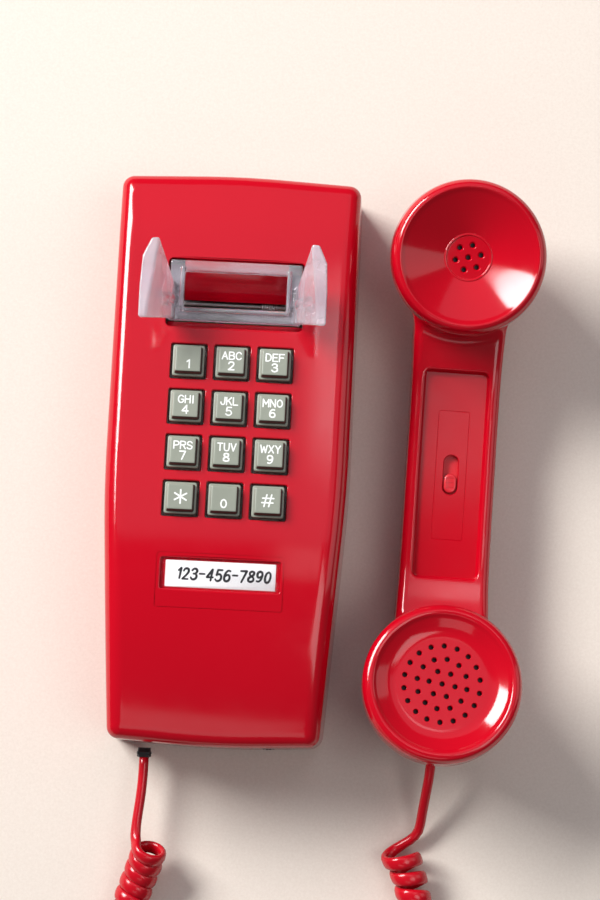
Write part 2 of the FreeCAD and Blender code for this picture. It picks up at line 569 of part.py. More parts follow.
# ---------------------------------------------------------------- cord
plug_end = HS.multVec(V(0, -104.6, HJ_Z))
print("handset plug end", plug_end)
LEAD_BASE = [(JACK_X, -114.2, 12.0), (-26.9, -121.4, 12.0), (-27.5, -131.0, 13.2), (-28.5, -140.0, 15.0), (-27.9, -148.9, 16.3)]
COIL = [(-22.6, -149.6, 16.2), (-24.0, -154.6, 11.6), (-27.2, -163.6, 7.8), (-31.0, -176.0, 7.1), (-31.2, -196.0, 7.1), (-18.0, -217.5, 7.1),
        (7.0, -231.5, 7.1), (34.0, -233.0, 7.1), (58.0, -221.5, 7.1), (74.0, -202.0, 7.1), (80.5, -181.0, 7.1), (79.3, -164.5, 7.1),
        (76.2, -154.6, 7.4), (72.4, -146.6, 8.6)]
LEAD_HANDSET = [(76.8, -145.4, 8.0), (79.9, -139.6, 8.6), (80.8, -132.0, 10.8), (81.9, -123.2, 14.2), (82.7, -114.6, 17.4),
                (plug_end.x, plug_end.y - 0.3, HJ_Z)]
save("cord_lead_base", tube(LEAD_BASE, None, CORD_D, "base lead"))
save("cord_coil", tube(COIL, None, COIL_D, "coil"))
save("cord_lead_handset", tube(LEAD_HANDSET, None, CORD_D, "handset lead"))
print(len(made), "parts")
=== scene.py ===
import bpy
import bmesh
import math
import numpy as np
from mathutils import Vector, Matrix
from mathutils.bvhtree import BVHTree


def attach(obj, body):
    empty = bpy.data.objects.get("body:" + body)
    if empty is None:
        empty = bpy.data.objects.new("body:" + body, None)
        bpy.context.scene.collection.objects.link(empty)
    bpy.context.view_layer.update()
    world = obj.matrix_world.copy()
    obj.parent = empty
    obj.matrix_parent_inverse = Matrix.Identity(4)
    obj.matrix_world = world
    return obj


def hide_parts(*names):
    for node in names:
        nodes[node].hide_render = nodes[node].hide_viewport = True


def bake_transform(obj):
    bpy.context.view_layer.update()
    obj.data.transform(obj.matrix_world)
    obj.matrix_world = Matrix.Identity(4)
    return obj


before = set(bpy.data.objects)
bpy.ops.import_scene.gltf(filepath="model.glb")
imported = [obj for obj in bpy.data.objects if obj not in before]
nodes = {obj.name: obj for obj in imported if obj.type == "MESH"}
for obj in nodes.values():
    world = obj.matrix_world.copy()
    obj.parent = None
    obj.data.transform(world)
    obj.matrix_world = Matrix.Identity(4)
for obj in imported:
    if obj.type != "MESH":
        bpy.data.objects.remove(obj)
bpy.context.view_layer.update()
scene = bpy.context.scene
MM = 0.001

# ------------------------------------------------------------------ dimensions, millimetres, as in the design
HALF_W_TOP, HALF_W_BOTTOM, TAPER_START_Y = 47.4, 41.2, -14.0
TOP_Y, BOTTOM_Y, TOP_BOW, BOTTOM_BOW, CORNER_R = 107.2, -110.0, 1.7, 2.2, 5.5
DRAFT, WALL, CROWN = 0.045, 2.5, 1.6
PROFILE = [(-122.0, 42.4, 0.37), (-112.0, 46.0, 0.33), (-88.0, 52.7, 0.22), (-64.0, 56.4, 0.09),
           (-48.0, 57.0, -0.03), (-28.0, 55.8, -0.0918), (70.0, 46.8, -0.0918), (84.0, 45.1, -0.19),
           (100.0, 41.0, -0.28), (118.0, 35.6, -0.31)]
EDGE_R = 6.6             # rounding of the front edge
KEY_PITCH_X, KEY_PITCH_Y, KEY_CENTRE_Y = 16.15, 17.35, 6.9
KP_T = math.atan(0.0918)
CARD_Y = -46.7
HANDSET_X, HANDSET_Y, HANDSET_TURN = 85.15, -2.65, math.radians(-1.27)
CAP_SPACING, CAP_R, CAP_TILT, CAP_RIM_Z = 158.4, 29.1, math.radians(8.0), 56.0
JACK_X, JACK_Z = -27.0, 12.0


def front(y):
    y = np.asarray(y, float)
    z = np.where(y < PROFILE[0][0], PROFILE[0][1] + (y - PROFILE[0][0]) * PROFILE[0][2],
                 PROFILE[-1][1] + (y - PROFILE[-1][0]) * PROFILE[-1][2])
    for (y0, z0, m0), (y1, z1, m1) in zip(PROFILE[:-1], PROFILE[1:]):
        h = y1 - y0
        t = (y - y0) / h
        v = ((2 * t ** 3 - 3 * t ** 2 + 1) * z0 + (t ** 3 - 2 * t ** 2 + t) * h * m0
             + (-2 * t ** 3 + 3 * t ** 2) * z1 + (t ** 3 - t ** 2) * h * m1)
        z = np.where((y >= y0) & (y <= y1), v, z)
    return z


def face_z(x, y):
    return front(y) - CROWN * (np.asarray(x, float) / 45.0) ** 2


# ------------------------------------------------------------------ mesh helpers
def mesh_object(name, verts, faces, smooth=True, unit=MM):
    me = bpy.data.meshes.new(name)
    me.from_pydata([tuple(v) for v in np.asarray(verts, float) * unit], [], [tuple(int(i) for i in f) for f in faces])
    me.update()
    ob = bpy.data.objects.new(name, me)
    scene.collection.objects.link(ob)
    if smooth:
        me.polygons.foreach_set("use_smooth", [True] * len(me.polygons))
    return ob


def clean(ob, dist=1e-7, outward=True):
    bm = bmesh.new()
    bm.from_mesh(ob.data)
    bmesh.ops.remove_doubles(bm, verts=bm.verts, dist=dist)
    if outward:
        bmesh.ops.recalc_face_normals(bm, faces=bm.faces)
    bm.to_mesh(ob.data)
    bm.free()
    ob.data.update()
    return ob


def loops_mesh(loops, cap_start=True, cap_end=True, closed=True):
    """Verts and faces of a skin over loops that all have the same number of points."""
    n = len(loops[0])
    verts = [p for l in loops for p in l]
    faces = []
    for k in range(len(loops) - 1):
        a, b = k * n, (k + 1) * n
        for i in range(n if closed else n - 1):
            j = (i + 1) % n
            faces.append((a + i, a + j, b + j, b + i))
    if cap_start:
        faces.append(tuple(range(n - 1, -1, -1)))
    if cap_end:
        e = (len(loops) - 1) * n
        faces.append(tuple(range(e, e + n)))
    return verts, faces


def rounded_rect(hx, hy, r, seg=6, cx=0.0, cy=0.0):
    pts = []
    for sx, sy, a0 in ((1, 1, 0), (-1, 1, 90), (-1, -1, 180), (1, -1, 270)):
        for k in range(seg + 1):
            a = math.radians(a0 + 90.0 * k / seg)
            pts.append((cx + sx * (hx - r) + r * math.cos(a), cy + sy * (hy - r) + r * math.sin(a)))
    return pts


def boolean(ob, cutter, op="DIFFERENCE"):
    mod = ob.modifiers.new("cut", "BOOLEAN")
    mod.operation = op
    mod.solver = "EXACT"
    mod.object = cutter
    dg = bpy.context.evaluated_depsgraph_get()
    me = bpy.data.meshes.new_from_object(ob.evaluated_get(dg))
    ob.modifiers.clear()
    old = ob.data
    name = old.name
    ob.data = me
    bpy.data.meshes.remove(old)
    me.name = name
    bpy.data.objects.remove(cutter)
    return ob


def join(obs, name):
    """One object holding the meshes of several, all at the origin."""
    verts, faces, off = [], [], 0
    for o in obs:
        verts += [tuple(v.co) for v in o.data.vertices]
        faces += [tuple(i + off for i in p.vertices) for p in o.data.polygons]
        off = len(verts)
    for o in obs:
        bpy.data.objects.remove(o)
    return mesh_object(name, verts, faces, unit=1.0)


def keep_smooth(ob, source, limit=32.0):
    """Loop normals: those of the smooth source where a face lies on it, the face's own elsewhere."""
    src = source.data
    src.update()
    sv = np.array([v.co for v in src.vertices], float)
    sn = np.array([v.normal for v in src.vertices], float)
    tris = []
    src.calc_loop_triangles()
    for t in src.loop_triangles:
        tris.append(tuple(t.vertices))
    tree = BVHTree.FromPolygons([tuple(v) for v in sv], tris)
    me = ob.data
    me.polygons.foreach_set("use_smooth", [True] * len(me.polygons))
    cache = {}
    lim = math.cos(math.radians(limit))
    out = [None] * len(me.loops)
    rest = []
    for p in me.polygons:
        fn = p.normal
        for li in p.loop_indices:
            vi = me.loops[li].vertex_index
            if vi not in cache:
                co = me.vertices[vi].co
                loc, _, ti, d = tree.find_nearest(co)
                a, b, c = tris[ti]
                pa, pb, pc = sv[a], sv[b], sv[c]
                q = np.array(loc)
                v0, v1, v2 = pb - pa, pc - pa, q - pa
                d00, d01, d11, d20, d21 = v0 @ v0, v0 @ v1, v1 @ v1, v2 @ v0, v2 @ v1
                den = d00 * d11 - d01 * d01
                if abs(den) < 1e-20:
                    n = sn[a]
                else:
                    v = (d11 * d20 - d01 * d21) / den
                    w = (d00 * d21 - d01 * d20) / den
                    n = sn[a] * (1 - v - w) + sn[b] * v + sn[c] * w
                cache[vi] = (Vector(n).normalized(), d)
            n, d = cache[vi]
            if d < 2e-5 and n.dot(fn) > lim:
                out[li] = n
            else:
                rest.append((li, vi, p.index))
    # other faces: average with neighbours that lie within the angle
    around = {}
    for li, vi, pi in rest:
        around.setdefault(vi, []).append(pi)
    cosr = math.cos(math.radians(38))
    for li, vi, pi in rest:
        fn = me.polygons[pi].normal
        s = Vector((0, 0, 0))
        for qi in around[vi]:
            q = me.polygons[qi]
            if q.normal.dot(fn) > cosr:
                s += q.normal * max(q.area, 1e-12)
        out[li] = s.normalized() if s.length > 0 else fn.copy()
    me.normals_split_custom_set([tuple(n) for n in out])
    return ob


def sharp_by_angle(ob, deg=38.0):
    ob.data.polygons.foreach_set("use_smooth", [True] * len(ob.data.polygons))
    ob.data.set_sharp_from_angle(angle=math.radians(deg))
    return ob


# ------------------------------------------------------------------ materials
def new_mat(name):
    m = bpy.data.materials.new(name)
    m.use_nodes = True
    nt = m.node_tree
    return m, nt, nt.nodes["Principled BSDF"]


def coords(nt):
    return nt.nodes.new("ShaderNodeTexCoord").outputs["Object"]


def noise(nt, vec, scale, detail=4.0, rough=0.5):
    n = nt.nodes.new("ShaderNodeTexNoise")
    n.inputs["Scale"].default_value = scale
    n.inputs["Detail"].default_value = detail
    n.inputs["Roughness"].default_value = rough
    nt.links.new(vec, n.inputs["Vector"])
    return n.outputs["Fac"]


def ramp(nt, fac, stops):
    r = nt.nodes.new("ShaderNodeValToRGB")
    el = r.color_ramp.elements
    el[0].position, el[0].color = stops[0][0], (*stops[0][1], 1)
    el[1].position, el[1].color = stops[-1][0], (*stops[-1][1], 1)
    for p, c in stops[1:-1]:
        e = el.new(p)
        e.color = (*c, 1)
    nt.links.new(fac, r.inputs["Fac"])
    return r.outputs["Color"]


def span(nt, fac, a, b, lo=0.3, hi=0.7):
    r = nt.nodes.new("ShaderNodeMapRange")
    r.inputs["From Min"].default_value, r.inputs["From Max"].default_value = lo, hi
    r.inputs["To Min"].default_value, r.inputs["To Max"].default_value = a, b
    nt.links.new(fac, r.inputs["Value"])
    return r.outputs["Result"]


def bump(nt, bsdf, height, strength, distance):
    b = nt.nodes.new("ShaderNodeBump")
    b.inputs["Strength"].default_value = strength
    b.inputs["Distance"].default_value = distance
    nt.links.new(height, b.inputs["Height"])
    nt.links.new(b.outputs["Normal"], bsdf.inputs["Normal"])
    return b


def plastic(name, colour, rough=(0.1, 0.17), vary=0.06, fine=900.0, depth=0.00001, strength=0.25, ior=1.5, coat=0.0):
    """Moulded plastic: a slow change of shade, fine flow marks in the gloss and a faint orange peel."""
    m, nt, b = new_mat(name)
    v = coords(nt)
    slow = noise(nt, v, 14.0, 3.0)
    dark = tuple(c * (1 - vary) for c in colour)
    light = tuple(min(1.0, c * (1 + vary)) for c in colour)
    nt.links.new(ramp(nt, slow, [(0.3, dark), (0.7, light)]), b.inputs["Base Color"])
    nt.links.new(span(nt, noise(nt, v, 120.0, 5.0, 0.6), rough[0], rough[1]), b.inputs["Roughness"])
    b.inputs["IOR"].default_value = ior
    if coat:
        b.inputs["Coat Weight"].default_value = coat
        b.inputs["Coat Roughness"].default_value = 0.04
    bump(nt, b, noise(nt, v, fine, 2.0), strength, depth)
    return m


def metal(name, colour, rough=(0.22, 0.4), scratch=(3.0, 220.0, 220.0)):
    m, nt, b = new_mat(name)
    v = coords(nt)
    mp = nt.nodes.new("ShaderNodeMapping")
    mp.inputs["Scale"].default_value = scratch
    nt.links.new(v, mp.inputs["Vector"])
    s = noise(nt, mp.outputs["Vector"], 12.0, 6.0, 0.7)
    dark = tuple(c * 0.8 for c in colour)
    nt.links.new(ramp(nt, noise(nt, v, 60.0, 4.0), [(0.3, dark), (0.7, colour)]), b.inputs["Base Color"])
    b.inputs["Metallic"].default_value = 1.0
    nt.links.new(span(nt, s, rough[0], rough[1]), b.inputs["Roughness"])
    bump(nt, b, s, 0.2, 0.00002)
    return m


RED = (0.48, 0.0012, 0.0105)
red = plastic("red_abs", RED, rough=(0.09, 0.14), vary=0.035, fine=420.0, depth=0.000012, strength=0.12)
red_inner = plastic("red_abs_inner", (0.42, 0.004, 0.01), rough=(0.3, 0.42), vary=0.08)
cord_red = plastic("cord_jacket_red", (0.5, 0.003, 0.012), rough=(0.16, 0.26), vary=0.1, fine=700.0, depth=0.00002, strength=0.3)
slider_red = plastic("slider_red", (0.62, 0.02, 0.03), rough=(0.2, 0.3))
key_grey = plastic("key_grey", (0.27, 0.29, 0.235), rough=(0.3, 0.42), vary=0.08, fine=2600.0, depth=0.00003, strength=0.5)
# near-black key colour, used only as painted shade on the right and lower walls of each key's raised block
key_wall_painted_shade = plastic("key_walls_painted_shade", (0.035, 0.038, 0.032), rough=(0.35, 0.5), vary=0.1, fine=2600.0, depth=0.00003, strength=0.5)
legend_white = plastic("legend_white", (0.86, 0.88, 0.84), rough=(0.35, 0.5), vary=0.03)
black = plastic("black_abs", (0.018, 0.018, 0.02), rough=(0.28, 0.45), vary=0.2)
inner_grey = plastic("inner_plastic", (0.62, 0.6, 0.55), rough=(0.35, 0.5))
tape = plastic("coil_tape", (0.75, 0.55, 0.12), rough=(0.3, 0.45), vary=0.15)
amber = plastic("film_amber", (0.72, 0.36, 0.06), rough=(0.15, 0.3), vary=0.12)
wire_blue = plastic("wire_blue", (0.03, 0.1, 0.45), rough=(0.25, 0.4))
wire_yellow = plastic("wire_yellow", (0.75, 0.52, 0.04), rough=(0.25, 0.4))
wire_grey = plastic("wire_grey", (0.4, 0.4, 0.42), rough=(0.3, 0.45))
silicone = plastic("silicone", (0.45, 0.46, 0.45), rough=(0.45, 0.6))
steel = metal("zinc_steel", (0.62, 0.62, 0.6))
brass = metal("gong_brass", (0.72, 0.55, 0.26), rough=(0.16, 0.3))
# the capsules' metal is coloured near-black as painted shade, so the holes in the ear and mouth caps read dark inside
capsule_metal_painted_shade = metal("capsule_aluminium_painted_shade", (0.07, 0.07, 0.075), rough=(0.45, 0.6))


def board_mat():
    m, nt, b = new_mat("circuit_board")
    v = coords(nt)
    br = nt.nodes.new("ShaderNodeTexBrick")
    br.inputs["Scale"].default_value = 95.0
    br.inputs["Mortar Size"].default_value = 0.03
    br.inputs["Color1"].default_value = (0.02, 0.13, 0.05, 1)
    br.inputs["Color2"].default_value = (0.015, 0.1, 0.04, 1)
    br.inputs["Mortar"].default_value = (0.05, 0.22, 0.09, 1)
    nt.links.new(v, br.inputs["Vector"])
    nt.links.new(br.outputs["Color"], b.inputs["Base Color"])
    nt.links.new(span(nt, noise(nt, v, 200.0), 0.3, 0.5), b.inputs["Roughness"])
    bump(nt, b, br.outputs["Fac"], 0.3, 0.00003)
    return m


board = board_mat()


def can_mat():
    """Electrolytic capacitors in dark blue sleeves."""
    m, nt, b = new_mat("capacitor_sleeve")
    v = coords(nt)
    nt.links.new(ramp(nt, noise(nt, v, 60.0, 3.0), [(0.3, (0.012, 0.03, 0.2)), (0.7, (0.02, 0.06, 0.34))]), b.inputs["Base Color"])
    nt.links.new(span(nt, noise(nt, v, 300.0), 0.2, 0.35), b.inputs["Roughness"])
    bump(nt, b, noise(nt, v, 800.0), 0.2, 0.00002)
    return m


can_blue = can_mat()


def clear_mat():
    """Clear moulded plastic with the slight lavender milkiness of thick sections."""
    m, nt, b = new_mat("clear_polycarbonate")
    v = coords(nt)
    sep = nt.nodes.new("ShaderNodeSeparateXYZ")
    nt.links.new(v, sep.inputs["Vector"])
    tall = span(nt, sep.outputs["Z"], 0.84, 0.7, 0.049, 0.054)
    mix = nt.nodes.new("ShaderNodeMath")
    mix.operation = "MULTIPLY"
    nt.links.new(tall, mix.inputs[0])
    nt.links.new(span(nt, noise(nt, v, 45.0, 3.0), 0.8, 1.1), mix.inputs[1])
    nt.links.new(mix.outputs["Value"], b.inputs["Transmission Weight"])
    b.inputs["Alpha"].default_value = 0.88
    b.inputs["IOR"].default_value = 1.5
    nt.links.new(ramp(nt, noise(nt, v, 60.0, 2.0), [(0.3, (0.93, 0.87, 0.97)), (0.7, (1.0, 0.97, 1.0))]), b.inputs["Base Color"])
    nt.links.new(span(nt, noise(nt, v, 160.0, 4.0), 0.02, 0.06), b.inputs["Roughness"])
    bump(nt, b, noise(nt, v, 90.0, 2.0), 0.2, 0.00008)
    return m


clear = clear_mat()


def card_mat():
    m, nt, b = new_mat("card_paper")
    v = coords(nt)
    nt.links.new(ramp(nt, noise(nt, v, 1500.0, 5.0, 0.7), [(0.25, (0.83, 0.82, 0.82)), (0.75, (0.92, 0.915, 0.91))]), b.inputs["Base Color"])
    nt.links.new(span(nt, noise(nt, v, 400.0), 0.65, 0.85), b.inputs["Roughness"])
    bump(nt, b, noise(nt, v, 2500.0, 6.0, 0.8), 0.4, 0.00003)
    return m


paper = card_mat()


def window_mat():
    m, nt, b = new_mat("window_clear")
    v = coords(nt)
    b.inputs["Transmission Weight"].default_value = 1.0
    b.inputs["IOR"].default_value = 1.46
    b.inputs["Alpha"].default_value = 0.22
    b.inputs["Base Color"].default_value = (0.98, 0.98, 1.0, 1)
    nt.links.new(span(nt, noise(nt, v, 200.0, 4.0), 0.03, 0.09), b.inputs["Roughness"])
    bump(nt, b, noise(nt, v, 90.0, 2.0), 0.3, 0.00006)
    return m


window_clear = window_mat()


def ink_mat():
    m, nt, b = new_mat("ink")
    v = coords(nt)
    nt.links.new(ramp(nt, noise(nt, v, 900.0, 4.0), [(0.3, (0.006, 0.006, 0.008)), (0.8, (0.03, 0.03, 0.035))]), b.inputs["Base Color"])
    nt.links.new(span(nt, noise(nt, v, 1200.0), 0.4, 0.6), b.inputs["Roughness"])
    bump(nt, b, noise(nt, v, 2000.0), 0.3, 0.00002)
    return m


ink = ink_mat()


def put(ob, material):
    ob.data.materials.clear()
    ob.data.materials.append(material)
    return ob


LOOKS = {
    "base_plate": red_inner, "housing_screws": steel, "keypad_bracket": inner_grey, "keypad_membrane": silicone,
    "keypad_pcb": board, "keypad_screws": steel, "number_card": paper, "card_window": window_clear,
    "main_pcb": board, "standoffs": inner_grey, "pcb_screws": steel, "line_transformer": tape,
    "capacitors": can_blue, "film_capacitor": amber, "hook_switch": black, "wall_jack_plug": window_clear,
    "wires_blue": wire_blue, "wires_yellow": wire_yellow, "hook_pivot_pin": steel, "hook_brackets": steel,
    "hook_spring": steel, "ringer_frame": steel, "gong_left": brass, "gong_right": brass, "gong_screws": steel,
    "ringer_coil": tape, "clapper": steel, "ringer_volume_wheel": black, "wheel_spindle": inner_grey,
    "base_handset_jack": black, "base_cord_plug": window_clear, "receiver_capsule": capsule_metal_painted_shade,
    "transmitter_capsule": capsule_metal_painted_shade, "transmitter_cup": inner_grey, "volume_board": board, "volume_slider": slider_red,
    "handset_jack": black, "handset_cord_plug": window_clear, "handset_wires": wire_grey,
    "housing": red, "hook_cradle": clear, "handset_shell": red, "ear_cap": red, "mouth_cap": red,
    "cord_lead_base": cord_red, "cord_coil": cord_red, "cord_lead_handset": cord_red,
}
for n, o in nodes.items():
    m = LOOKS.get(n, key_grey)
    o.data.materials.clear()
    o.data.materials.append(m)

# ------------------------------------------------------------------ placements
def kp(x, y, z):
    """Keypad frame to the row frame, millimetres."""
    c, s = math.cos(KP_T), math.sin(KP_T)
    return (x, KEY_CENTRE_Y + y * c + z * s, float(front(KEY_CENTRE_Y)) - y * s + z * c)


HS = Matrix.Translation((HANDSET_X, HANDSET_Y, 0)) @ Matrix.Rotation(HANDSET_TURN, 4, "Z")
EAR = Matrix.Translation((0, CAP_SPACING / 2, CAP_RIM_Z)) @ Matrix.Rotation(CAP_TILT, 4, "X")
MOUTH = Matrix.Translation((0, -CAP_SPACING / 2, CAP_RIM_Z)) @ Matrix.Rotation(-CAP_TILT, 4, "X")


def moved(pts, m):
    a = np.array(m, float)
    p = np.asarray(pts, float)
    return p @ a[:3, :3].T + a[:3, 3]


# ------------------------------------------------------------------ the cord
def spline_points(name, points, order=3, res=12):
    """Points along a NURBS spline with these control points (mm in, metres out)."""
    cu = bpy.data.curves.new(name, "CURVE")
    cu.dimensions = "3D"
    sp = cu.splines.new("NURBS")
    sp.points.add(len(points) - 1)
    for p, q in zip(sp.points, points):
        p.co = (q[0] * MM, q[1] * MM, q[2] * MM, 1.0)
    sp.order_u = order
    sp.use_endpoint_u = True
    sp.resolution_u = res
    ob = bpy.data.objects.new(name, cu)
    scene.collection.objects.link(ob)
    bpy.context.view_layer.update()
    me = bpy.data.meshes.new_from_object(ob.evaluated_get(bpy.context.evaluated_depsgraph_get()))
    pts = np.array([v.co for v in me.vertices], float)
    bpy.data.meshes.remove(me)
    bpy.data.objects.remove(ob)
    bpy.data.curves.remove(cu)
    return pts


def frames(pts):
    """Tangent and two side directions that turn as little as they can along the line."""
    t = np.gradient(pts, axis=0)
    t /= np.linalg.norm(t, axis=1)[:, None]
    n = np.zeros_like(t)
    n0 = np.cross(t[0], (0, 0, 1.0))
    n[0] = n0 / np.linalg.norm(n0)
    for i in range(1, len(t)):
        v = n[i - 1] - t[i] * (n[i - 1] @ t[i])
        n[i] = v / np.linalg.norm(v)
    return t, n, np.cross(t, n)


LEAD_BASE = [(JACK_X, -114.2, 12.0), (-26.9, -121.4, 12.0), (-27.4, -131.0, 12.6), (-28.3, -139.0, 13.2), (-28.6, -145.0, 13.8)]
COIL = [(-22.6, -149.6, 15.2), (-24.0, -154.6, 11.2), (-27.2, -163.6, 7.8), (-31.0, -176.0, 7.15), (-31.2, -196.0, 7.15), (-18.0, -217.5, 7.15),
        (7.0, -231.5, 7.15), (34.0, -233.0, 7.15), (58.0, -221.5, 7.15), (74.0, -202.0, 7.15), (80.5, -181.0, 7.15), (79.3, -164.5, 7.15),
        (76.2, -154.6, 7.6), (72.4, -146.6, 8.8)]
LEAD_HANDSET = [(80.0, -140.6, 4.6), (80.7, -132.6, 8.4), (81.8, -123.0, 14.0), (82.7, -114.6, 17.6), (82.83, -107.52, 18.0)]
R_COIL = 5.6             # to the middle of the strand
HALF_T, HALF_W = 1.4, 2.6   # half thickness and half width of the flat strand in the coil
axis = spline_points("coil_axis", COIL, 3, 24) / MM
seg = np.linalg.norm(np.diff(axis, axis=0), axis=1)
s_at = np.concatenate([[0], np.cumsum(seg)])
total = s_at[-1]
AT, AN, AB = frames(axis)


def along(a, s):
    return np.stack([np.interp(s, s_at, a[:, k]) for k in range(3)], -1)


def pitch(s):
    """Close turns near the base, opening near the handset."""
    return 5.55 + 1.5 * np.clip((s - (total - 32.0)) / 10.0, 0, 1)


ss = np.linspace(0, total, 4000)
turned = np.concatenate([[0], np.cumsum(0.5 * (1 / pitch(ss[1:]) + 1 / pitch(ss[:-1])) * np.diff(ss))])
# whole turns and three quarters, so that the strand leaves from under the coil
turned *= (math.floor(turned[-1]) + 0.80) / turned[-1]
PER_TURN = 14
k = np.arange(0, int(turned[-1] * PER_TURN) + 1)
s_k = np.interp(k / PER_TURN, turned, ss)
phi = -2 * math.pi * k / PER_TURN
grow = 1.0 + 0.16 * np.clip((s_k - (total - 9.0)) / 6.0, 0, 1)
helix = along(axis, s_k) + (R_COIL * grow)[:, None] * (np.cos(phi)[:, None] * along(AN, s_k) + np.sin(phi)[:, None] * along(AB, s_k))
helix[:, 2] = np.maximum(helix[:, 2], HALF_T + 0.1)
control = LEAD_BASE + [tuple(p) for p in helix] + LEAD_HANDSET
line = spline_points("cord_line", control, 3, 3) / MM
step = np.linalg.norm(np.diff(line, axis=0), axis=1)
line = line[np.concatenate([[True], step > 0.05])]
step = np.linalg.norm(np.diff(line, axis=0), axis=1)


def strand_mesh(name, pts, toward, share, ring=14):
    """A jacket round the line. share 0: round, 4 mm; 1: flat, its wide side facing the coil's axis."""
    t = np.gradient(pts, axis=0)
    t /= np.linalg.norm(t, axis=1)[:, None]
    r = toward - t * (toward * t).sum(1)[:, None]
    r /= np.linalg.norm(r, axis=1)[:, None]
    w = np.cross(t, r)
    a = 2 * math.pi * np.arange(ring) / ring
    ht = 1.9 + (HALF_T - 1.9) * share
    hw = 1.9 + (HALF_W - 1.9) * share
    loops = []
    for i in range(len(pts)):
        c, s = np.cos(a), np.sin(a)
        e = 1.0 - 0.18 * share[i]          # a flat oval with full shoulders
        cc = np.sign(c) * np.abs(c) ** e
        sn = np.sign(s) * np.abs(s) ** e
        loops.append(pts[i] + np.outer(cc * ht[i], r[i]) + np.outer(sn * hw[i], w[i]))
    verts, faces = loops_mesh([list(map(tuple, l)) for l in loops])
    return mesh_object(name, verts, faces)


# direction to the coil's axis for each point of the line, smoothly carried on along the two leads
near = np.array([np.argmin(((axis - p) ** 2).sum(1)) for p in line])
inward = axis[near] - line
first = int(np.argmin(((line - helix[3]) ** 2).sum(1)))
last = int(np.argmin(((line - helix[-4]) ** 2).sum(1)))
inward[:first] = inward[first]
inward[last:] = inward[last]
cum = np.concatenate([[0], np.cumsum(step)])
share = np.clip(np.minimum((cum - cum[first] + 18.0) / 22.0, (cum[last] + 14.0 - cum) / 18.0), 0, 1)
share = share * share * (3 - 2 * share)
flex = strand_mesh("curly_cord", line, inward, share)
put(flex, cord_red)
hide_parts("cord_lead_base", "cord_coil", "cord_lead_handset")
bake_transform(flex)


# ------------------------------------------------------------------ housing
def outline_loop(k, c, n_side=56, n_top=22, n_arc=9):
    """Closed outline of the housing, moved in by k, corners of radius c; always the same number of points."""
    corners = [(HALF_W_TOP - k, TOP_Y - k), (0.0, TOP_Y + TOP_BOW - k), (-HALF_W_TOP + k, TOP_Y - k),
               (-HALF_W_TOP + k, TAPER_START_Y), (-HALF_W_BOTTOM + k, BOTTOM_Y + k),
               (0.0, BOTTOM_Y - BOTTOM_BOW + k), (HALF_W_BOTTOM - k, BOTTOM_Y + k), (HALF_W_TOP - k, TAPER_START_Y)]
    radii = [c, 420.0, c, 520.0, c, 330.0, c, 520.0]
    arcs_n = [n_arc, 16, n_arc, 24, n_arc, 16, n_arc, 24]
    line_n = [n_top // 2, n_top // 2, n_side, n_side, n_top // 2, n_top // 2, n_side, n_side]
    n = len(corners)
    ends = []
    for i in range(n):
        p = np.array(corners[i])
        a = np.array(corners[i - 1]) - p
        b = np.array(corners[(i + 1) % n]) - p
        a /= np.linalg.norm(a)
        b /= np.linalg.norm(b)
        turn = math.pi - math.acos(max(-1, min(1, a @ b)))
        t = radii[i] * math.tan(turn / 2)
        s, e = p + a * t, p + b * t
        m = (a + b) / np.linalg.norm(a + b)
        ctr = p + m * radii[i] / math.cos(turn / 2)
        ends.append((s, e, ctr, radii[i]))
    pts = []
    for i in range(n):
        s, e, ctr, r = ends[i]
        a0 = math.atan2(*(s - ctr)[::-1])
        a1 = math.atan2(*(e - ctr)[::-1])
        d = (a1 - a0 + math.pi) % (2 * math.pi) - math.pi
        for q in range(arcs_n[i]):
            a = a0 + d * q / arcs_n[i]
            pts.append(ctr + r * np.array([math.cos(a), math.sin(a)]))
        nxt = ends[(i + 1) % n][0]
        for q in range(line_n[i]):
            pts.append(e + (nxt - e) * q / line_n[i])
    return np.array(pts)


def skin_loops(inset, edge_r):
    """Loops up the side wall, round the front edge and over the front face."""
    loops = []
    th0 = math.atan(DRAFT)

    def corner(k):
        return max(CORNER_R - 0.55 * k, 0.9)
    # the side wall ends where the edge rounding starts: that height follows the face
    base = outline_loop(inset, corner(inset))
    kc_guess = 2.0 + edge_r + inset
    top = outline_loop(kc_guess, corner(kc_guess))
    zc = face_z(top[:, 0], top[:, 1]) - inset - edge_r       # centre height of the rounding, per point
    kc = DRAFT * zc + edge_r / math.cos(th0) + inset          # its inset
    table_k = np.linspace(inset, inset + 13.0, 27)
    table = np.array([outline_loop(kk, corner(kk)) for kk in table_k])

    def at_inset(k):
        """Outline point for each index at its own inset."""
        f = (np.clip(k, table_k[0], table_k[-1]) - table_k[0]) / (table_k[1] - table_k[0])
        i = np.minimum(f.astype(int), len(table_k) - 2)
        t = (f - i)[:, None]
        idx = np.arange(len(k))
        return table[i, idx] * (1 - t) + table[i + 1, idx] * t
    z_side_top = zc + edge_r * math.sin(th0)
    for u in np.linspace(0, 1, 9):
        z = z_side_top * u
        loops.append(np.column_stack([at_inset(inset + DRAFT * z), z]))
    for u in np.linspace(0, 1, 13)[1:]:
        th = th0 + (math.pi / 2 - th0) * u
        p = at_inset(kc - edge_r * math.cos(th))
        flat = face_z(p[:, 0], p[:, 1]) - inset
        z_arc = zc + edge_r * math.sin(th)
        w = u ** 3
        loops.append(np.column_stack([p, z_arc * (1 - w) + (flat - edge_r * (1 - math.sin(th))) * w]))
    ring = loops[-1]
    spine = np.column_stack([np.zeros(len(ring)), np.clip(ring[:, 1], -66.0, 66.0)])
    for u in (np.arange(1, 27) / 26.0):
        p = ring[:, :2] * (1 - u) + spine * u
        loops.append(np.column_stack([p, face_z(p[:, 0], p[:, 1]) - inset]))
    return loops


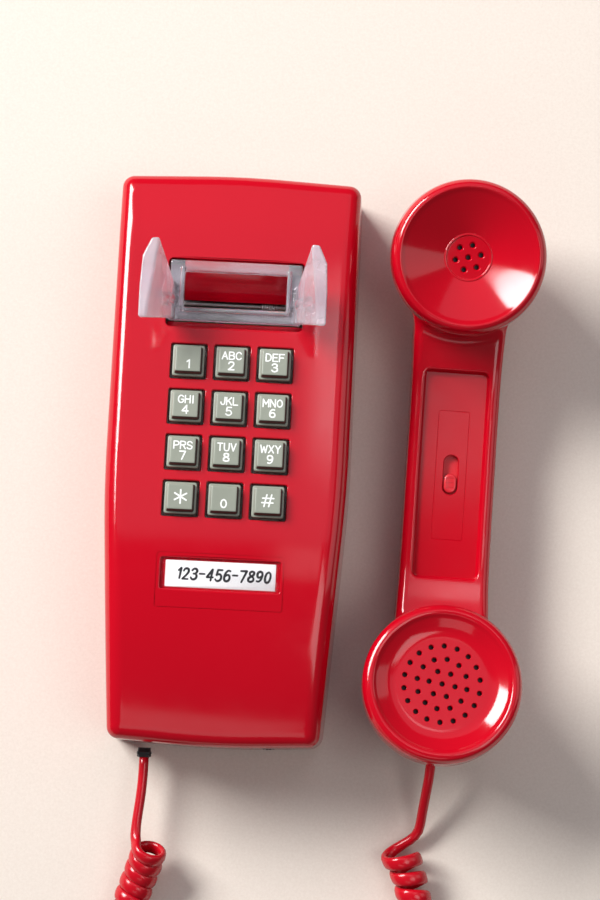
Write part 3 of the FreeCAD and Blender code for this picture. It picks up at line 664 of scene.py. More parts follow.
def housing_mesh():
    outer = skin_loops(0.0, EDGE_R)
    inner = skin_loops(WALL, EDGE_R - 2.2)
    n = len(outer[0])
    verts, faces = loops_mesh([list(map(tuple, l)) for l in outer], False, False)
    off = len(verts)
    v2, f2 = loops_mesh([list(map(tuple, l)) for l in inner], False, False)
    verts += v2
    faces += [tuple(reversed([i + off for i in f])) for f in f2]
    for i in range(n):
        j = (i + 1) % n
        faces.append((j, i, off + i, off + j))
    ob = mesh_object("housing_skin", verts, faces)
    clean(ob, 2e-6)
    return ob


def flared_cutter(name, outline_of, face_of, place, depth, lip=0.45, out=5.0):
    """A hole's cutter that opens a little at the surface. outline_of(grow) gives the plan, face_of(x, y) the local surface."""
    loops = []
    for grow, rel, fixed in ((0.0, None, -depth), (0.0, -lip, None), (0.04, -lip * 0.62, None), (0.14, -lip * 0.3, None),
                             (0.3, -lip * 0.08, None), (0.5, 0.02, None), (0.75, 0.25, None), (0.75, None, out)):
        pts = outline_of(grow)
        loops.append([place(x, y, fixed if fixed is not None else face_of(x, y) + rel) for x, y in pts])
    verts, faces = loops_mesh(loops)
    ob = mesh_object(name, verts, faces)
    return clean(ob, 1e-9)


housing_src = housing_mesh()
housing = housing_src.copy()
housing.data = housing_src.data.copy()
housing.name = "housing_shell"
scene.collection.objects.link(housing)
key_names = [["key_1", "key_2", "key_3"], ["key_4", "key_5", "key_6"], ["key_7", "key_8", "key_9"],
             ["key_star", "key_0", "key_hash"]]
key_xy = {key_names[r][c]: ((c - 1) * KEY_PITCH_X, (1.5 - r) * KEY_PITCH_Y) for r in range(4) for c in range(3)}
cutters = []
for name, (x, y) in key_xy.items():
    cutters.append(flared_cutter("c", lambda g, x=x, y=y: rounded_rect(6.8 + g, 6.8 + g, 0.7 + g, 5, x, y),
                                 lambda u, v: -CROWN * (u / 45.0) ** 2, kp, 12.0, 0.4, 4.0))
plain = lambda x, y, z: (x, y, z)
cutters.append(flared_cutter("c", lambda g: rounded_rect(25.6 + g, 13.15 + g, 1.6 + g, 6, 0.0, 59.25),
                             lambda u, v: float(face_z(u, v)), plain, -36.0, 0.6, 70.0))
cutters.append(flared_cutter("c", lambda g: rounded_rect(22.1 + g, 5.75 + g, 0.8 + g, 5, 0.0, CARD_Y),
                             lambda u, v: float(face_z(u, v)), plain, -55.2, 0.3, 62.0))


def groove_cutter(x0, x1, y0, y1, width, depth, r=1.0):
    """A shallow square groove along a rounded rectangle, following the front face."""
    cx, cy, hx, hy = (x0 + x1) / 2, (y0 + y1) / 2, (x1 - x0) / 2, (y1 - y0) / 2

    def dense(g):
        out = []
        p = rounded_rect(hx + g, hy + g, r + g, 5, cx, cy)
        for i in range(len(p)):
            a, b = np.array(p[i]), np.array(p[(i + 1) % len(p)])
            m = 12 if np.linalg.norm(b - a) > 4 else 1
            out += [tuple(a + (b - a) * q / m) for q in range(m)]
        return out
    inner, outer_ = dense(-width / 2), dense(width / 2)
    loops = []
    for pts, dz in ((inner, -depth), (inner, 1.0), (outer_, 1.0), (outer_, -depth)):
        loops.append([(x, y, float(face_z(x, y)) + dz) for x, y in pts])
    n = len(inner)
    verts = [p for l in loops for p in l]
    faces = []
    for q in range(4):
        a, b = q * n, ((q + 1) % 4) * n
        for i in range(n):
            j = (i + 1) % n
            faces.append((a + i, a + j, b + j, b + i))
    return clean(mesh_object("c", verts, faces), 1e-9)


def box_cutter(x0, x1, y0, y1, z0, z1, r=0.6):
    hx, hz = (x1 - x0) / 2, (z1 - z0) / 2
    pts = rounded_rect(hx, hz, r, 4, (x0 + x1) / 2, (z0 + z1) / 2)
    loops = [[(x, y, z) for x, z in pts] for y in (y0, y1)]
    v, f = loops_mesh(loops)
    return clean(mesh_object("c", v, f), 1e-9)


cutters.append(box_cutter(JACK_X - 4.3, JACK_X + 4.3, -118, -104, JACK_Z - 3.7, JACK_Z + 3.7))
cutters.append(box_cutter(20.0 - 9.0, 20.0 + 9.0, -118, -100, 17.0 - 2.3, 17.0 + 2.3))
boolean(housing, join(cutters, "cutters"))
boolean(housing, groove_cutter(-23.4, 23.4, -59.4, -39.3, 0.55, 0.22))
keep_smooth(housing, housing_src)
put(housing, red)
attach(housing, "base")
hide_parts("housing")
bpy.data.objects.remove(housing_src)


def prism_x(name, poly, x0, x1, bevel=0.25):
    """A bar of constant (y, z) section along X with softened edges."""
    v, f = loops_mesh([[(x, y, z) for y, z in poly] for x in (x0, x1)])
    ob = clean(mesh_object(name, v, f), 1e-9)
    soften(ob, bevel, 2)
    return ob


def soften(ob, width, segments=2, angle=30.0):
    mod = ob.modifiers.new("soft", "BEVEL")
    mod.width = width * MM
    mod.segments = segments
    mod.limit_method = "ANGLE"
    mod.angle_limit = math.radians(angle)
    mod.harden_normals = False
    dg = bpy.context.evaluated_depsgraph_get()
    me_ = bpy.data.meshes.new_from_object(ob.evaluated_get(dg))
    ob.modifiers.clear()
    old = ob.data
    ob.data = me_
    bpy.data.meshes.remove(old)
    sharp_by_angle(ob, 50.0)
    return ob


pocket = prism_x("cradle_pocket", [(71.6, 45.1), (73.4, 44.2), (58.9, 35.6), (57.9, 37.4), (66.0, 42.2)], -19.6, 19.6)
ledge = prism_x("cradle_ledge", [(44.2, 44.6), (44.2, 42.2), (48.6, 42.2), (48.6, 43.2), (46.2, 43.6), (45.9, 44.6)], -25.4, 25.4)
put(ledge, red)
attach(ledge, "base")
put(pocket, red)
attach(pocket, "base")

# ------------------------------------------------------------------ keys
def key_mesh(name, x, y):
    f, t = 5.9, 4.8
    rings = [(f - 0.15, 0.7, -2.5), (f, 0.8, -2.35), (f, 0.8, 0.55), (f - 0.06, 0.78, 0.74), (f - 0.2, 0.72, 0.86), (f - 0.4, 0.66, 0.9),
             (t + 0.55, 0.86, 0.91), (t + 0.46, 0.85, 0.94), (t + 0.38, 0.8, 1.1), (t + 0.3, 0.75, 1.5), (t + 0.06, 0.64, 3.0),
             (t - 0.04, 0.6, 3.26), (t - 0.2, 0.5, 3.42), (t - 0.42, 0.4, 3.48), (t - 0.9, 0.35, 3.48), (t - 2.2, 0.3, 3.44), (t - 3.8, 0.25, 3.41)]
    loops = [[kp(u, v, z) for u, v in rounded_rect(h, h, r, 4, x, y)] for h, r, z in rings]
    verts, faces = loops_mesh(loops)
    ob = mesh_object(name, verts, faces)
    clean(ob, 1e-9)
    return sharp_by_angle(ob, 60.0)


def paint_shade_on_key_walls(ob, x, y):
    """Painted shade: the right and lower walls of the raised block are darker than the rest of the key, standing in
    for the shade that falls on that side.
    """
    ob.data.materials.append(key_wall_painted_shade)
    for p in ob.data.polygons:
        c = np.array(p.center) / MM
        u, v = c[0] - x, (c[1] - KEY_CENTRE_Y) / math.cos(KP_T) - y
        # painted shade: walls facing right or down, on the shaded side, take the dark colour
        if (p.normal.x > 0.6 or p.normal.y < -0.6) and max(abs(u), abs(v)) < 5.42:
            p.material_index = 1


GLYPHS = {
    "A": [[(0, 0), (0.5, 1), (1, 0)], [(0.2, 0.36), (0.8, 0.36)]],
    "B": [[(0, 0), (0, 1), (0.62, 1), (0.86, 0.88), (0.86, 0.64), (0.6, 0.53), (0, 0.53)], [(0.6, 0.53), (0.94, 0.4), (0.94, 0.13), (0.66, 0), (0, 0)]],
    "C": [[(0.95, 0.8), (0.72, 0.99), (0.35, 1.0), (0.06, 0.78), (0, 0.5), (0.06, 0.22), (0.35, 0.0), (0.72, 0.01), (0.95, 0.2)]],
    "D": [[(0, 0), (0, 1), (0.5, 1), (0.86, 0.8), (0.96, 0.5), (0.86, 0.2), (0.5, 0), (0, 0)]],
    "E": [[(0.88, 1), (0, 1), (0, 0), (0.9, 0)], [(0, 0.52), (0.74, 0.52)]],
    "F": [[(0.88, 1), (0, 1), (0, 0)], [(0, 0.52), (0.74, 0.52)]],
    "G": [[(0.92, 0.82), (0.7, 0.99), (0.35, 1.0), (0.06, 0.78), (0, 0.5), (0.06, 0.22), (0.35, 0.0), (0.72, 0.02), (0.95, 0.2), (0.95, 0.46), (0.58, 0.46)]],
    "H": [[(0, 0), (0, 1)], [(0.92, 0), (0.92, 1)], [(0, 0.52), (0.92, 0.52)]],
    "I": [[(0.2, 0), (0.2, 1)]],
    "J": [[(0.75, 1), (0.75, 0.25), (0.58, 0.02), (0.25, 0.0), (0.04, 0.2), (0.02, 0.34)]],
    "K": [[(0, 0), (0, 1)], [(0.88, 1), (0.05, 0.42)], [(0.32, 0.62), (0.92, 0)]],
    "L": [[(0, 1), (0, 0), (0.82, 0)]],
    "M": [[(0, 0), (0, 1), (0.52, 0.35), (1.04, 1), (1.04, 0)]],
    "N": [[(0, 0), (0, 1), (0.9, 0), (0.9, 1)]],
    "O": [[(0.5, 1), (0.14, 0.86), (0, 0.5), (0.14, 0.14), (0.5, 0), (0.86, 0.14), (1, 0.5), (0.86, 0.86), (0.5, 1)]],
    "P": [[(0, 0), (0, 1), (0.64, 1), (0.9, 0.86), (0.9, 0.58), (0.64, 0.45), (0, 0.45)]],
    "R": [[(0, 0), (0, 1), (0.64, 1), (0.9, 0.87), (0.9, 0.62), (0.64, 0.5), (0, 0.5)], [(0.5, 0.5), (0.92, 0)]],
    "S": [[(0.88, 0.84), (0.66, 1), (0.25, 1), (0.04, 0.84), (0.06, 0.62), (0.3, 0.53), (0.66, 0.46), (0.9, 0.34), (0.88, 0.13), (0.66, 0), (0.24, 0), (0, 0.16)]],
    "T": [[(0, 1), (0.92, 1)], [(0.46, 1), (0.46, 0)]],
    "U": [[(0, 1), (0, 0.25), (0.2, 0.0), (0.7, 0.0), (0.9, 0.25), (0.9, 1)]],
    "V": [[(0, 1), (0.46, 0), (0.92, 1)]],
    "W": [[(0, 1), (0.27, 0), (0.6, 0.8), (0.93, 0), (1.2, 1)]],
    "X": [[(0, 0), (0.9, 1)], [(0, 1), (0.9, 0)]],
    "Y": [[(0, 1), (0.45, 0.5), (0.9, 1)], [(0.45, 0.5), (0.45, 0)]],
    "0": [[(0.42, 1), (0.12, 0.88), (0, 0.5), (0.12, 0.12), (0.42, 0), (0.72, 0.12), (0.84, 0.5), (0.72, 0.88), (0.42, 1)]],
    "1": [[(0.08, 0.78), (0.42, 1), (0.42, 0)]],
    "2": [[(0.03, 0.76), (0.14, 0.95), (0.42, 1.0), (0.72, 0.93), (0.8, 0.7), (0.66, 0.48), (0.03, 0), (0.84, 0)]],
    "3": [[(0.04, 0.84), (0.2, 0.98), (0.5, 1.0), (0.76, 0.88), (0.76, 0.66), (0.52, 0.53), (0.3, 0.53)], [(0.52, 0.53), (0.82, 0.4), (0.82, 0.14), (0.52, 0), (0.2, 0.02), (0.0, 0.18)]],
    "4": [[(0.64, 0), (0.64, 1), (0, 0.3), (0.88, 0.3)]],
    "5": [[(0.78, 1), (0.16, 1), (0.08, 0.54), (0.34, 0.63), (0.62, 0.6), (0.82, 0.42), (0.8, 0.16), (0.52, 0.0), (0.2, 0.02), (0, 0.16)]],
    "6": [[(0.72, 0.94), (0.42, 1), (0.12, 0.8), (0, 0.42), (0.08, 0.12), (0.42, 0.0), (0.76, 0.1), (0.82, 0.36), (0.66, 0.58), (0.34, 0.6), (0.04, 0.4)]],
    "7": [[(0, 1), (0.84, 1), (0.34, 0)]],
    "8": [[(0.42, 0.54), (0.1, 0.68), (0.1, 0.9), (0.42, 1), (0.74, 0.9), (0.74, 0.68), (0.42, 0.54), (0.02, 0.36), (0.04, 0.1), (0.42, 0), (0.8, 0.1), (0.82, 0.36), (0.42, 0.54)]],
    "9": [[(0.8, 0.6), (0.5, 0.4), (0.18, 0.42), (0.02, 0.64), (0.08, 0.9), (0.42, 1), (0.76, 0.88), (0.84, 0.58), (0.72, 0.2), (0.42, 0), (0.12, 0.06)]],
    "*": [[(0.5, 0.0), (0.5, 1.0)], [(0.07, 0.25), (0.93, 0.75)], [(0.07, 0.75), (0.93, 0.25)]],
    "#": [[(0.2, 0.0), (0.42, 1.0)], [(0.62, 0.0), (0.84, 1.0)], [(0.0, 0.32), (0.98, 0.32)], [(0.06, 0.7), (1.04, 0.7)]],
    "-": [[(0.0, 0.5), (0.7, 0.5)]],
}


def smooth_stroke(pts, sharp=60.0, n=5):
    """Rounds a stroke through its points, but keeps its sharp corners."""
    p = [np.array(q, float) for q in pts]
    if len(p) < 3:
        return p
    out = [p[0]]
    closed = np.linalg.norm(p[0] - p[-1]) < 1e-9
    for i in range(1, len(p) - 1):
        a, b = p[i] - p[i - 1], p[i + 1] - p[i]
        turn = math.degrees(math.acos(max(-1, min(1, (a @ b) / (np.linalg.norm(a) * np.linalg.norm(b))))))
        if turn > sharp:
            out.append(p[i])
        else:
            s, e = p[i] - a * 0.42, p[i] + b * 0.42
            for q in range(n + 1):
                t = q / n
                out.append(s * (1 - t) ** 2 + p[i] * 2 * t * (1 - t) + e * t ** 2)
    out.append(p[-1])
    return out


def stroke_polys(pts, width, widths=None):
    """Quads along a stroke and a round blob at every point, as flat polygons."""
    polys = []
    n = len(pts)
    for i in range(n - 1):
        a, b = pts[i], pts[i + 1]
        d = b - a
        l = np.linalg.norm(d)
        if l < 1e-9:
            continue
        nrm = np.array([-d[1], d[0]]) / l
        wa = width / 2 if widths is None else widths[i] / 2
        wb = width / 2 if widths is None else widths[i + 1] / 2
        polys.append([a + nrm * wa, a - nrm * wa, b - nrm * wb, b + nrm * wb])
    for i in range(n):
        w = width / 2 if widths is None else widths[i] / 2
        polys.append([pts[i] + w * np.array([math.cos(t), math.sin(t)]) for t in np.linspace(0, 2 * math.pi, 13)[:-1]])
    return polys


def text_polys(text, x, y, size, width, squeeze=1.0, gap=0.34):
    adv = []
    for ch in text:
        w = max(px for s in GLYPHS[ch] for px, _ in s)
        adv.append(w)
    total_w = sum(adv) * size * squeeze + gap * size * (len(text) - 1)
    cx = x - total_w / 2
    polys = []
    for ch, w in zip(text, adv):
        for s in GLYPHS[ch]:
            pts = [np.array([cx + q[0] * size * squeeze, y - size / 2 + q[1] * size]) for q in smooth_stroke(s)]
            polys += stroke_polys(pts, width)
        cx += w * size * squeeze + gap * size
    return polys


def inlay(name, polys, place, z0, z1):
    """Flat strokes as thin raised slabs; each later slab is a hair higher, so none flickers with another."""
    verts, faces = [], []
    for n, poly in enumerate(polys):
        m = len(poly)
        top = z1 + 0.0006 * (n % 40)
        off = len(verts)
        verts += [place(p[0], p[1], z0) for p in poly] + [place(p[0], p[1], top) for p in poly]
        area2 = sum(poly[i][0] * poly[(i + 1) % m][1] - poly[(i + 1) % m][0] * poly[i][1] for i in range(m))
        order = list(range(m)) if area2 > 0 else list(range(m))[::-1]
        faces.append(tuple(off + i for i in reversed(order)))
        faces.append(tuple(off + m + i for i in order))
        for q in range(m):
            i, j = order[q], order[(q + 1) % m]
            faces.append((off + i, off + j, off + m + j, off + m + i))
    ob = mesh_object(name, verts, faces, smooth=False)
    return ob


LEGENDS = {"key_1": ("", "1"), "key_2": ("ABC", "2"), "key_3": ("DEF", "3"), "key_4": ("GHI", "4"), "key_5": ("JKL", "5"),
           "key_6": ("MNO", "6"), "key_7": ("PRS", "7"), "key_8": ("TUV", "8"), "key_9": ("WXY", "9"), "key_star": ("", "*"),
           "key_0": ("", "0"), "key_hash": ("", "#")}
key_centre = {}
for name, (x, y) in key_xy.items():
    ob = key_mesh(name + "_cap", x, y)
    put(ob, key_grey)
    # painted shade on the key's right and lower walls
    paint_shade_on_key_walls(ob, x, y)
    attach(ob, name)
    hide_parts(name)
    letters, digit = LEGENDS[name]
    polys = []
    if letters:
        polys += text_polys(letters, x, y + 1.95, 2.75, 0.5, 0.72, 0.24)
        polys += text_polys(digit, x, y - 1.9, 3.0, 0.56, 0.82)
    elif digit in "10":
        polys += text_polys(digit, x, y - 1.9, 3.0, 0.56, 0.82)
    elif digit == "*":
        polys += text_polys(digit, x, y, 5.0, 0.62, 1.0)
    else:
        polys += text_polys(digit, x, y, 4.4, 0.56, 0.95)
    lg = inlay(name + "_legend", polys, kp, 3.38, 3.50)
    put(lg, legend_white)
    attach(lg, name)


# ------------------------------------------------------------------ smooth solids from distance functions
def smin(a, b, k):
    h = np.maximum(k - np.abs(a - b), 0.0) / k
    return np.minimum(a, b) - h * h * k * 0.25


def smax(a, b, k):
    return -smin(-a, -b, k)


def poly_dist(px, py, poly):
    """Signed distance to a closed polygon, negative inside. Works on arrays; poly points may be arrays too."""
    n = len(poly)
    d = np.full(px.shape, 1e18)
    s = np.ones(px.shape)
    for i in range(n):
        ax, ay = poly[i]
        bx, by = poly[i - 1]
        ex, ey = bx - ax, by - ay
        wx, wy = px - ax, py - ay
        t = np.clip((wx * ex + wy * ey) / (ex * ex + ey * ey + 1e-18), 0, 1)
        d = np.minimum(d, (wx - ex * t) ** 2 + (wy - ey * t) ** 2)
        c1, c2, c3 = py >= ay, py < by, ex * wy > ey * wx
        flip = (c1 & c2 & c3) | (~c1 & ~c2 & ~c3)
        s = np.where(flip, -s, s)
    return s * np.sqrt(d)


def box_dist(x, y, z, x0, x1, y0, y1, z0, z1, r=0.0):
    qx = np.abs(x - (x0 + x1) / 2) - (x1 - x0) / 2 + r
    qy = np.abs(y - (y0 + y1) / 2) - (y1 - y0) / 2 + r
    qz = np.abs(z - (z0 + z1) / 2) - (z1 - z0) / 2 + r
    out = np.sqrt(np.maximum(qx, 0) ** 2 + np.maximum(qy, 0) ** 2 + np.maximum(qz, 0) ** 2)
    return out + np.minimum(np.maximum(qx, np.maximum(qy, qz)), 0) - r


def gradient(f, p, e):
    g = np.empty_like(p)
    for k in range(3):
        q = p.copy()
        q[:, k] += e
        a = f(q)
        q[:, k] -= 2 * e
        g[:, k] = (a - f(q)) / (2 * e)
    return g


def solid_of(name, f, lo, hi, h, relax=3):
    """Mesh of f = 0 by surface nets on a grid, then every vertex moved onto the surface. Millimetres, in f's own frame."""
    ax = [np.arange(lo[k], hi[k] + h, h) for k in range(3)]
    nx, ny, nz = (len(a) for a in ax)
    F = np.empty((nx, ny, nz))
    Y, Z = np.meshgrid(ax[1], ax[2], indexing="ij")
    for i0 in range(0, nx, 8):
        xs = ax[0][i0:i0 + 8]
        m = len(xs)
        P = np.empty((m, ny, nz, 3))
        P[..., 0] = xs[:, None, None]
        P[..., 1] = Y
        P[..., 2] = Z
        F[i0:i0 + m] = f(P.reshape(-1, 3)).reshape(m, ny, nz)
    cells = (nx - 1, ny - 1, nz - 1)
    acc = np.zeros(cells + (3,))
    cnt = np.zeros(cells)
    for axis_ in range(3):
        o1, o2 = [a for a in range(3) if a != axis_]
        for u in (0, 1):
            for v in (0, 1):
                sa = [slice(None)] * 3
                sa[axis_] = slice(0, F.shape[axis_] - 1)
                sa[o1] = slice(u, F.shape[o1] - 1 + u)
                sa[o2] = slice(v, F.shape[o2] - 1 + v)
                sb = list(sa)
                sb[axis_] = slice(1, F.shape[axis_])
                A, B = F[tuple(sa)], F[tuple(sb)]
                cr = (A < 0) != (B < 0)
                t = np.where(cr, A / np.where(cr, A - B, 1.0), 0.0)
                acc[..., axis_] += np.where(cr, t, 0.0)
                acc[..., o1] += np.where(cr, float(u), 0.0)
                acc[..., o2] += np.where(cr, float(v), 0.0)
                cnt += cr
    mask = cnt > 0
    idx = -np.ones(cells, int)
    where = np.argwhere(mask)
    idx[mask] = np.arange(len(where))
    P = np.array(lo) + h * (where + acc[mask] / cnt[mask][:, None])
    quads = []
    for axis_ in range(3):
        u, v = (axis_ + 1) % 3, (axis_ + 2) % 3
        sa = [slice(None)] * 3
        sb = [slice(None)] * 3
        sa[axis_] = slice(0, F.shape[axis_] - 1)
        sb[axis_] = slice(1, F.shape[axis_])
        A, B = F[tuple(sa)], F[tuple(sb)]
        I = np.argwhere((A < 0) != (B < 0))
        ok = (I[:, u] > 0) & (I[:, v] > 0) & (I[:, u] < F.shape[u] - 1) & (I[:, v] < F.shape[v] - 1)
        I = I[ok]
        low_in = A[tuple(I.T)] < 0
        eu, ev = np.eye(3, dtype=int)[u], np.eye(3, dtype=int)[v]
        q = np.stack([idx[tuple(I.T)], idx[tuple((I - eu).T)], idx[tuple((I - eu - ev).T)], idx[tuple((I - ev).T)]], 1)
        q[~low_in] = q[~low_in][:, ::-1]
        quads.append(q)
    Q = np.concatenate(quads)

    def project(P, rounds, limit):
        for _ in range(rounds):
            v = f(P)
            g = gradient(f, P, 0.04)
            step = (v / np.maximum((g * g).sum(1), 0.05))[:, None] * g
            ln = np.linalg.norm(step, axis=1)
            step *= np.minimum(1.0, limit / np.maximum(ln, 1e-9))[:, None]
            P = P - step
        return P
    P = project(P, 2, h * 0.5)
    E = np.concatenate([Q[:, [0, 1]], Q[:, [1, 2]], Q[:, [2, 3]], Q[:, [3, 0]]])
    for _ in range(relax):
        s = np.zeros_like(P)
        c = np.zeros(len(P))
        for a, b in ((0, 1), (1, 0)):
            np.add.at(s, E[:, a], P[E[:, b]])
            np.add.at(c, E[:, a], 1)
        P = P * 0.5 + 0.5 * s / np.maximum(c, 1)[:, None]
        P = project(P, 1, h * 0.5)
    P = project(P, 2, h * 0.4)
    nrm = gradient(f, P, 0.12)
    nrm /= np.linalg.norm(nrm, axis=1)[:, None]
    ob = mesh_object(name, P, Q)
    return ob, nrm


def set_normals(ob, nrm):
    me_ = ob.data
    me_.polygons.foreach_set("use_smooth", [True] * len(me_.polygons))
    me_.normals_split_custom_set_from_vertices([tuple(n) for n in nrm])
    return ob


def place_object(ob, m):
    mm = m.copy()
    mm.translation = mm.translation * MM
    ob.data.transform(mm)
    ob.data.update()
    return ob


# ------------------------------------------------------------------ handset shell
def hermite_table(t, ys, vals):
    ys, vals = np.array(ys, float), np.array(vals, float)
    m = np.gradient(vals, ys)
    i = np.clip(np.searchsorted(ys, t) - 1, 0, len(ys) - 2)
    h = ys[i + 1] - ys[i]
    u = np.clip((t - ys[i]) / h, 0, 1)
    return ((2 * u ** 3 - 3 * u ** 2 + 1) * vals[i] + (u ** 3 - 2 * u ** 2 + u) * h * m[i]
            + (-2 * u ** 3 + 3 * u ** 2) * vals[i + 1] + (u ** 3 - u ** 2) * h * m[i + 1])


SEC_Y = [0, 20, 42, 56, 70, 82]
SEC_W = [34.0, 34.0, 34.4, 35.2, 34.6, 31.0]
SEC_Z0 = [0.05, 0.1, 1.2, 4.0, 9.6, 16.6]
SEC_Z1 = [27.3, 27.4, 28.2, 31.2, 36.6, 38.6]
BOWL = [(0.0, -43.0), (6.5, -42.85), (12.0, -42.2), (17.0, -40.8), (20.6, -38.4), (23.4, -34.6), (25.2, -30.0), (26.5, -24.0), (27.3, -18.0),
        (27.8, -12.7), (27.4, -12.4), (26.1, -12.4), (26.1, -5.0), (0.0, -5.0)]


def spline2(pts, n):
    """Catmull-Rom through the points."""
    p = np.array(pts, float)
    e = np.vstack([2 * p[0] - p[1], p, 2 * p[-1] - p[-2]])
    out = []
    for i in range(1, len(e) - 2):
        for q in range(n):
            t = q / n
            out.append(0.5 * (2 * e[i] + (e[i + 1] - e[i - 1]) * t + (2 * e[i - 1] - 5 * e[i] + 4 * e[i + 1] - e[i + 2]) * t * t
                              + (3 * e[i] - e[i - 1] - 3 * e[i + 1] + e[i + 2]) * t ** 3))
    out.append(p[-1])
    return out


bowl_poly = [tuple(p) for p in spline2(BOWL[:10], 4)] + BOWL[10:]
TR, TW = np.arange(0, 70.0, 0.25), np.arange(-75.0, 45.0, 0.25)
GR, GW = np.meshgrid(TR, TW, indexing="ij")
# mirrored in r so that the axis is inside the solid
full = [(r, w) for r, w in bowl_poly] + [(-r, w) for r, w in reversed(bowl_poly) if r > 1e-9]
bowl_table = poly_dist(GR, GW, full)


def bowl_dist(r, w):
    fr = np.clip(r / 0.25, 0, len(TR) - 1.001)
    fw = np.clip((w + 75.0) / 0.25, 0, len(TW) - 1.001)
    i, j = fr.astype(int), fw.astype(int)
    a, b = fr - i, fw - j
    t = bowl_table
    return (t[i, j] * (1 - a) * (1 - b) + t[i + 1, j] * a * (1 - b) + t[i, j + 1] * (1 - a) * b + t[i + 1, j + 1] * a * b)


EAR_INV = np.array(EAR.inverted(), float)
MOUTH_INV = np.array(MOUTH.inverted(), float)


def handset_f(p):
    x, y, z = p[:, 0], p[:, 1], p[:, 2]
    ay = np.abs(y)
    w = hermite_table(ay, SEC_Y, SEC_W)
    z0 = hermite_table(ay, SEC_Y, SEC_Z0)
    z1 = hermite_table(ay, SEC_Y, SEC_Z1)
    zc, hz = (z0 + z1) / 2, (z1 - z0) / 2
    blend_ = np.clip((z - zc) / 6.0 + 0.5, 0, 1)
    r = 10.5 + (3.6 - 10.5) * blend_
    qx, qz = np.abs(x) - w / 2 + r, np.abs(z - zc) - hz + r
    handle = np.sqrt(np.maximum(qx, 0) ** 2 + np.maximum(qz, 0) ** 2) + np.minimum(np.maximum(qx, qz), 0) - r
    slope = 1.0 + 0.12 * np.clip((ay - 40) / 20, 0, 1)
    handle = handle / slope
    # the recessed panel between two rails
    rx, ry = np.abs(x) - 12.3 + 2.2, ay - 39.8 + 2.2
    plan = np.sqrt(np.maximum(rx, 0) ** 2 + np.maximum(ry, 0) ** 2) + np.minimum(np.maximum(rx, ry), 0) - 2.2
    channel = smax(plan, 25.0 - z, 0.5)
    handle = smax(handle, -channel, 1.1)
    handle = np.maximum(handle, ay - 84.0)
    out = handle
    for inv in (EAR_INV, MOUTH_INV):
        q = p @ inv[:3, :3].T + inv[:3, 3]
        rr_ = np.sqrt(q[:, 0] ** 2 + q[:, 1] ** 2)
        out = smin(out, bowl_dist(rr_, q[:, 2]), 7.0)
    boss = box_dist(x, y, z, -8.2, 8.2, -102.6, -80.0, 11.0, 26.0, 1.4)
    out = smin(out, boss, 2.0)
    for inv in (EAR_INV, MOUTH_INV):
        q = p @ inv[:3, :3].T + inv[:3, 3]
        rr_ = np.sqrt(q[:, 0] ** 2 + q[:, 1] ** 2)
        well = np.maximum(rr_ - 24.4, -29.0 - q[:, 2])
        well2 = np.maximum(rr_ - 19.0, -34.0 - q[:, 2])
        out = np.maximum(out, -np.minimum(well, well2))
    return out


shell_src, shell_n = solid_of("handset_src", handset_f, (-31.0, -113.0, -1.2), (31.0, 113.0, 60.0), 0.85)
set_normals(shell_src, shell_n)
shell = shell_src.copy()
shell.data = shell_src.data.copy()
shell.name = "handset_body"
scene.collection.objects.link(shell)


def obround(hx, y0, y1, seg=14):
    pts = []
    for k_ in range(seg + 1):
        a = math.pi * k_ / seg
        pts.append((hx * math.cos(a), y1 + hx * math.sin(a)))
    for k_ in range(seg + 1):
        a = math.pi + math.pi * k_ / seg
        pts.append((hx * math.cos(a), y0 + hx * math.sin(a)))
    return pts


slot_loops = [[(x, y, z) for x, y in obround(2.8 + g, -4.8, 4.8)] for g, z in ((0, 15.0), (0, 24.6), (0.05, 24.8), (0.3, 25.0), (0.8, 25.3), (0.8, 30.0))]
v_, f_ = loops_mesh(slot_loops)
slot_cut = clean(mesh_object("c", v_, f_), 1e-9)
socket = box_cutter(-6.6, 6.6, -110.0, -88.6, 18.0 - 5.4, 18.0 + 5.4, 0.5)
boolean(shell, join([slot_cut, socket], "cutters"))


def flat_groove(x0, x1, y0, y1, z, width, depth, r=0.8):
    loops = []
    cx, cy, hx, hy = (x0 + x1) / 2, (y0 + y1) / 2, (x1 - x0) / 2, (y1 - y0) / 2
    for g, dz in ((width / 2, 0.6), (width / 2, 0.0), (width / 6, -depth), (-width / 6, -depth), (-width / 2, 0.0), (-width / 2, 0.6)):
        loops.append([(x, y, z + dz) for x, y in rounded_rect(hx + g, hy + g, max(0.05, r + g), 5, cx, cy)])
    loops.append(loops[0])
    v, f = loops_mesh(loops, False, False)
    return clean(mesh_object("c", v, f), 1e-7)


boolean(shell, flat_groove(-5.9, 5.9, -25.0, 24.6, 25.0, 0.36, 0.14))


def keep_normals_near(ob, src, nrm, limit=30.0):
    """Custom normals of the exact surface where the mesh still lies on it."""
    tree = BVHTree.FromPolygons([tuple(v.co) for v in src.data.vertices], [tuple(p.vertices) for p in src.data.polygons])
    polys = [tuple(p.vertices) for p in src.data.polygons]
    sv = np.array([v.co for v in src.data.vertices], float)
    me_ = ob.data
    me_.polygons.foreach_set("use_smooth", [True] * len(me_.polygons))
    cache = {}
    lim = math.cos(math.radians(limit))
    out = []
    for p in me_.polygons:
        fn = p.normal
        for li in p.loop_indices:
            vi = me_.loops[li].vertex_index
            if vi not in cache:
                co = me_.vertices[vi].co
                loc, _, fi, d = tree.find_nearest(co)
                ids = list(polys[fi])
                dist = np.linalg.norm(sv[ids] - np.array(loc), axis=1)
                wgt = 1.0 / np.maximum(dist, 1e-7) ** 2
                n = (nrm[ids] * wgt[:, None]).sum(0) / wgt.sum()
                cache[vi] = (Vector(n).normalized(), d)
            n, d = cache[vi]
            out.append(tuple(n) if (d < 2e-5 and n.dot(fn) > lim) else tuple(fn))
    me_.normals_split_custom_set(out)
    return ob


keep_normals_near(shell, shell_src, shell_n)
bpy.data.objects.remove(shell_src)
place_object(shell, HS)
put(shell, red)
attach(shell, "handset")
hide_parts("handset_shell")

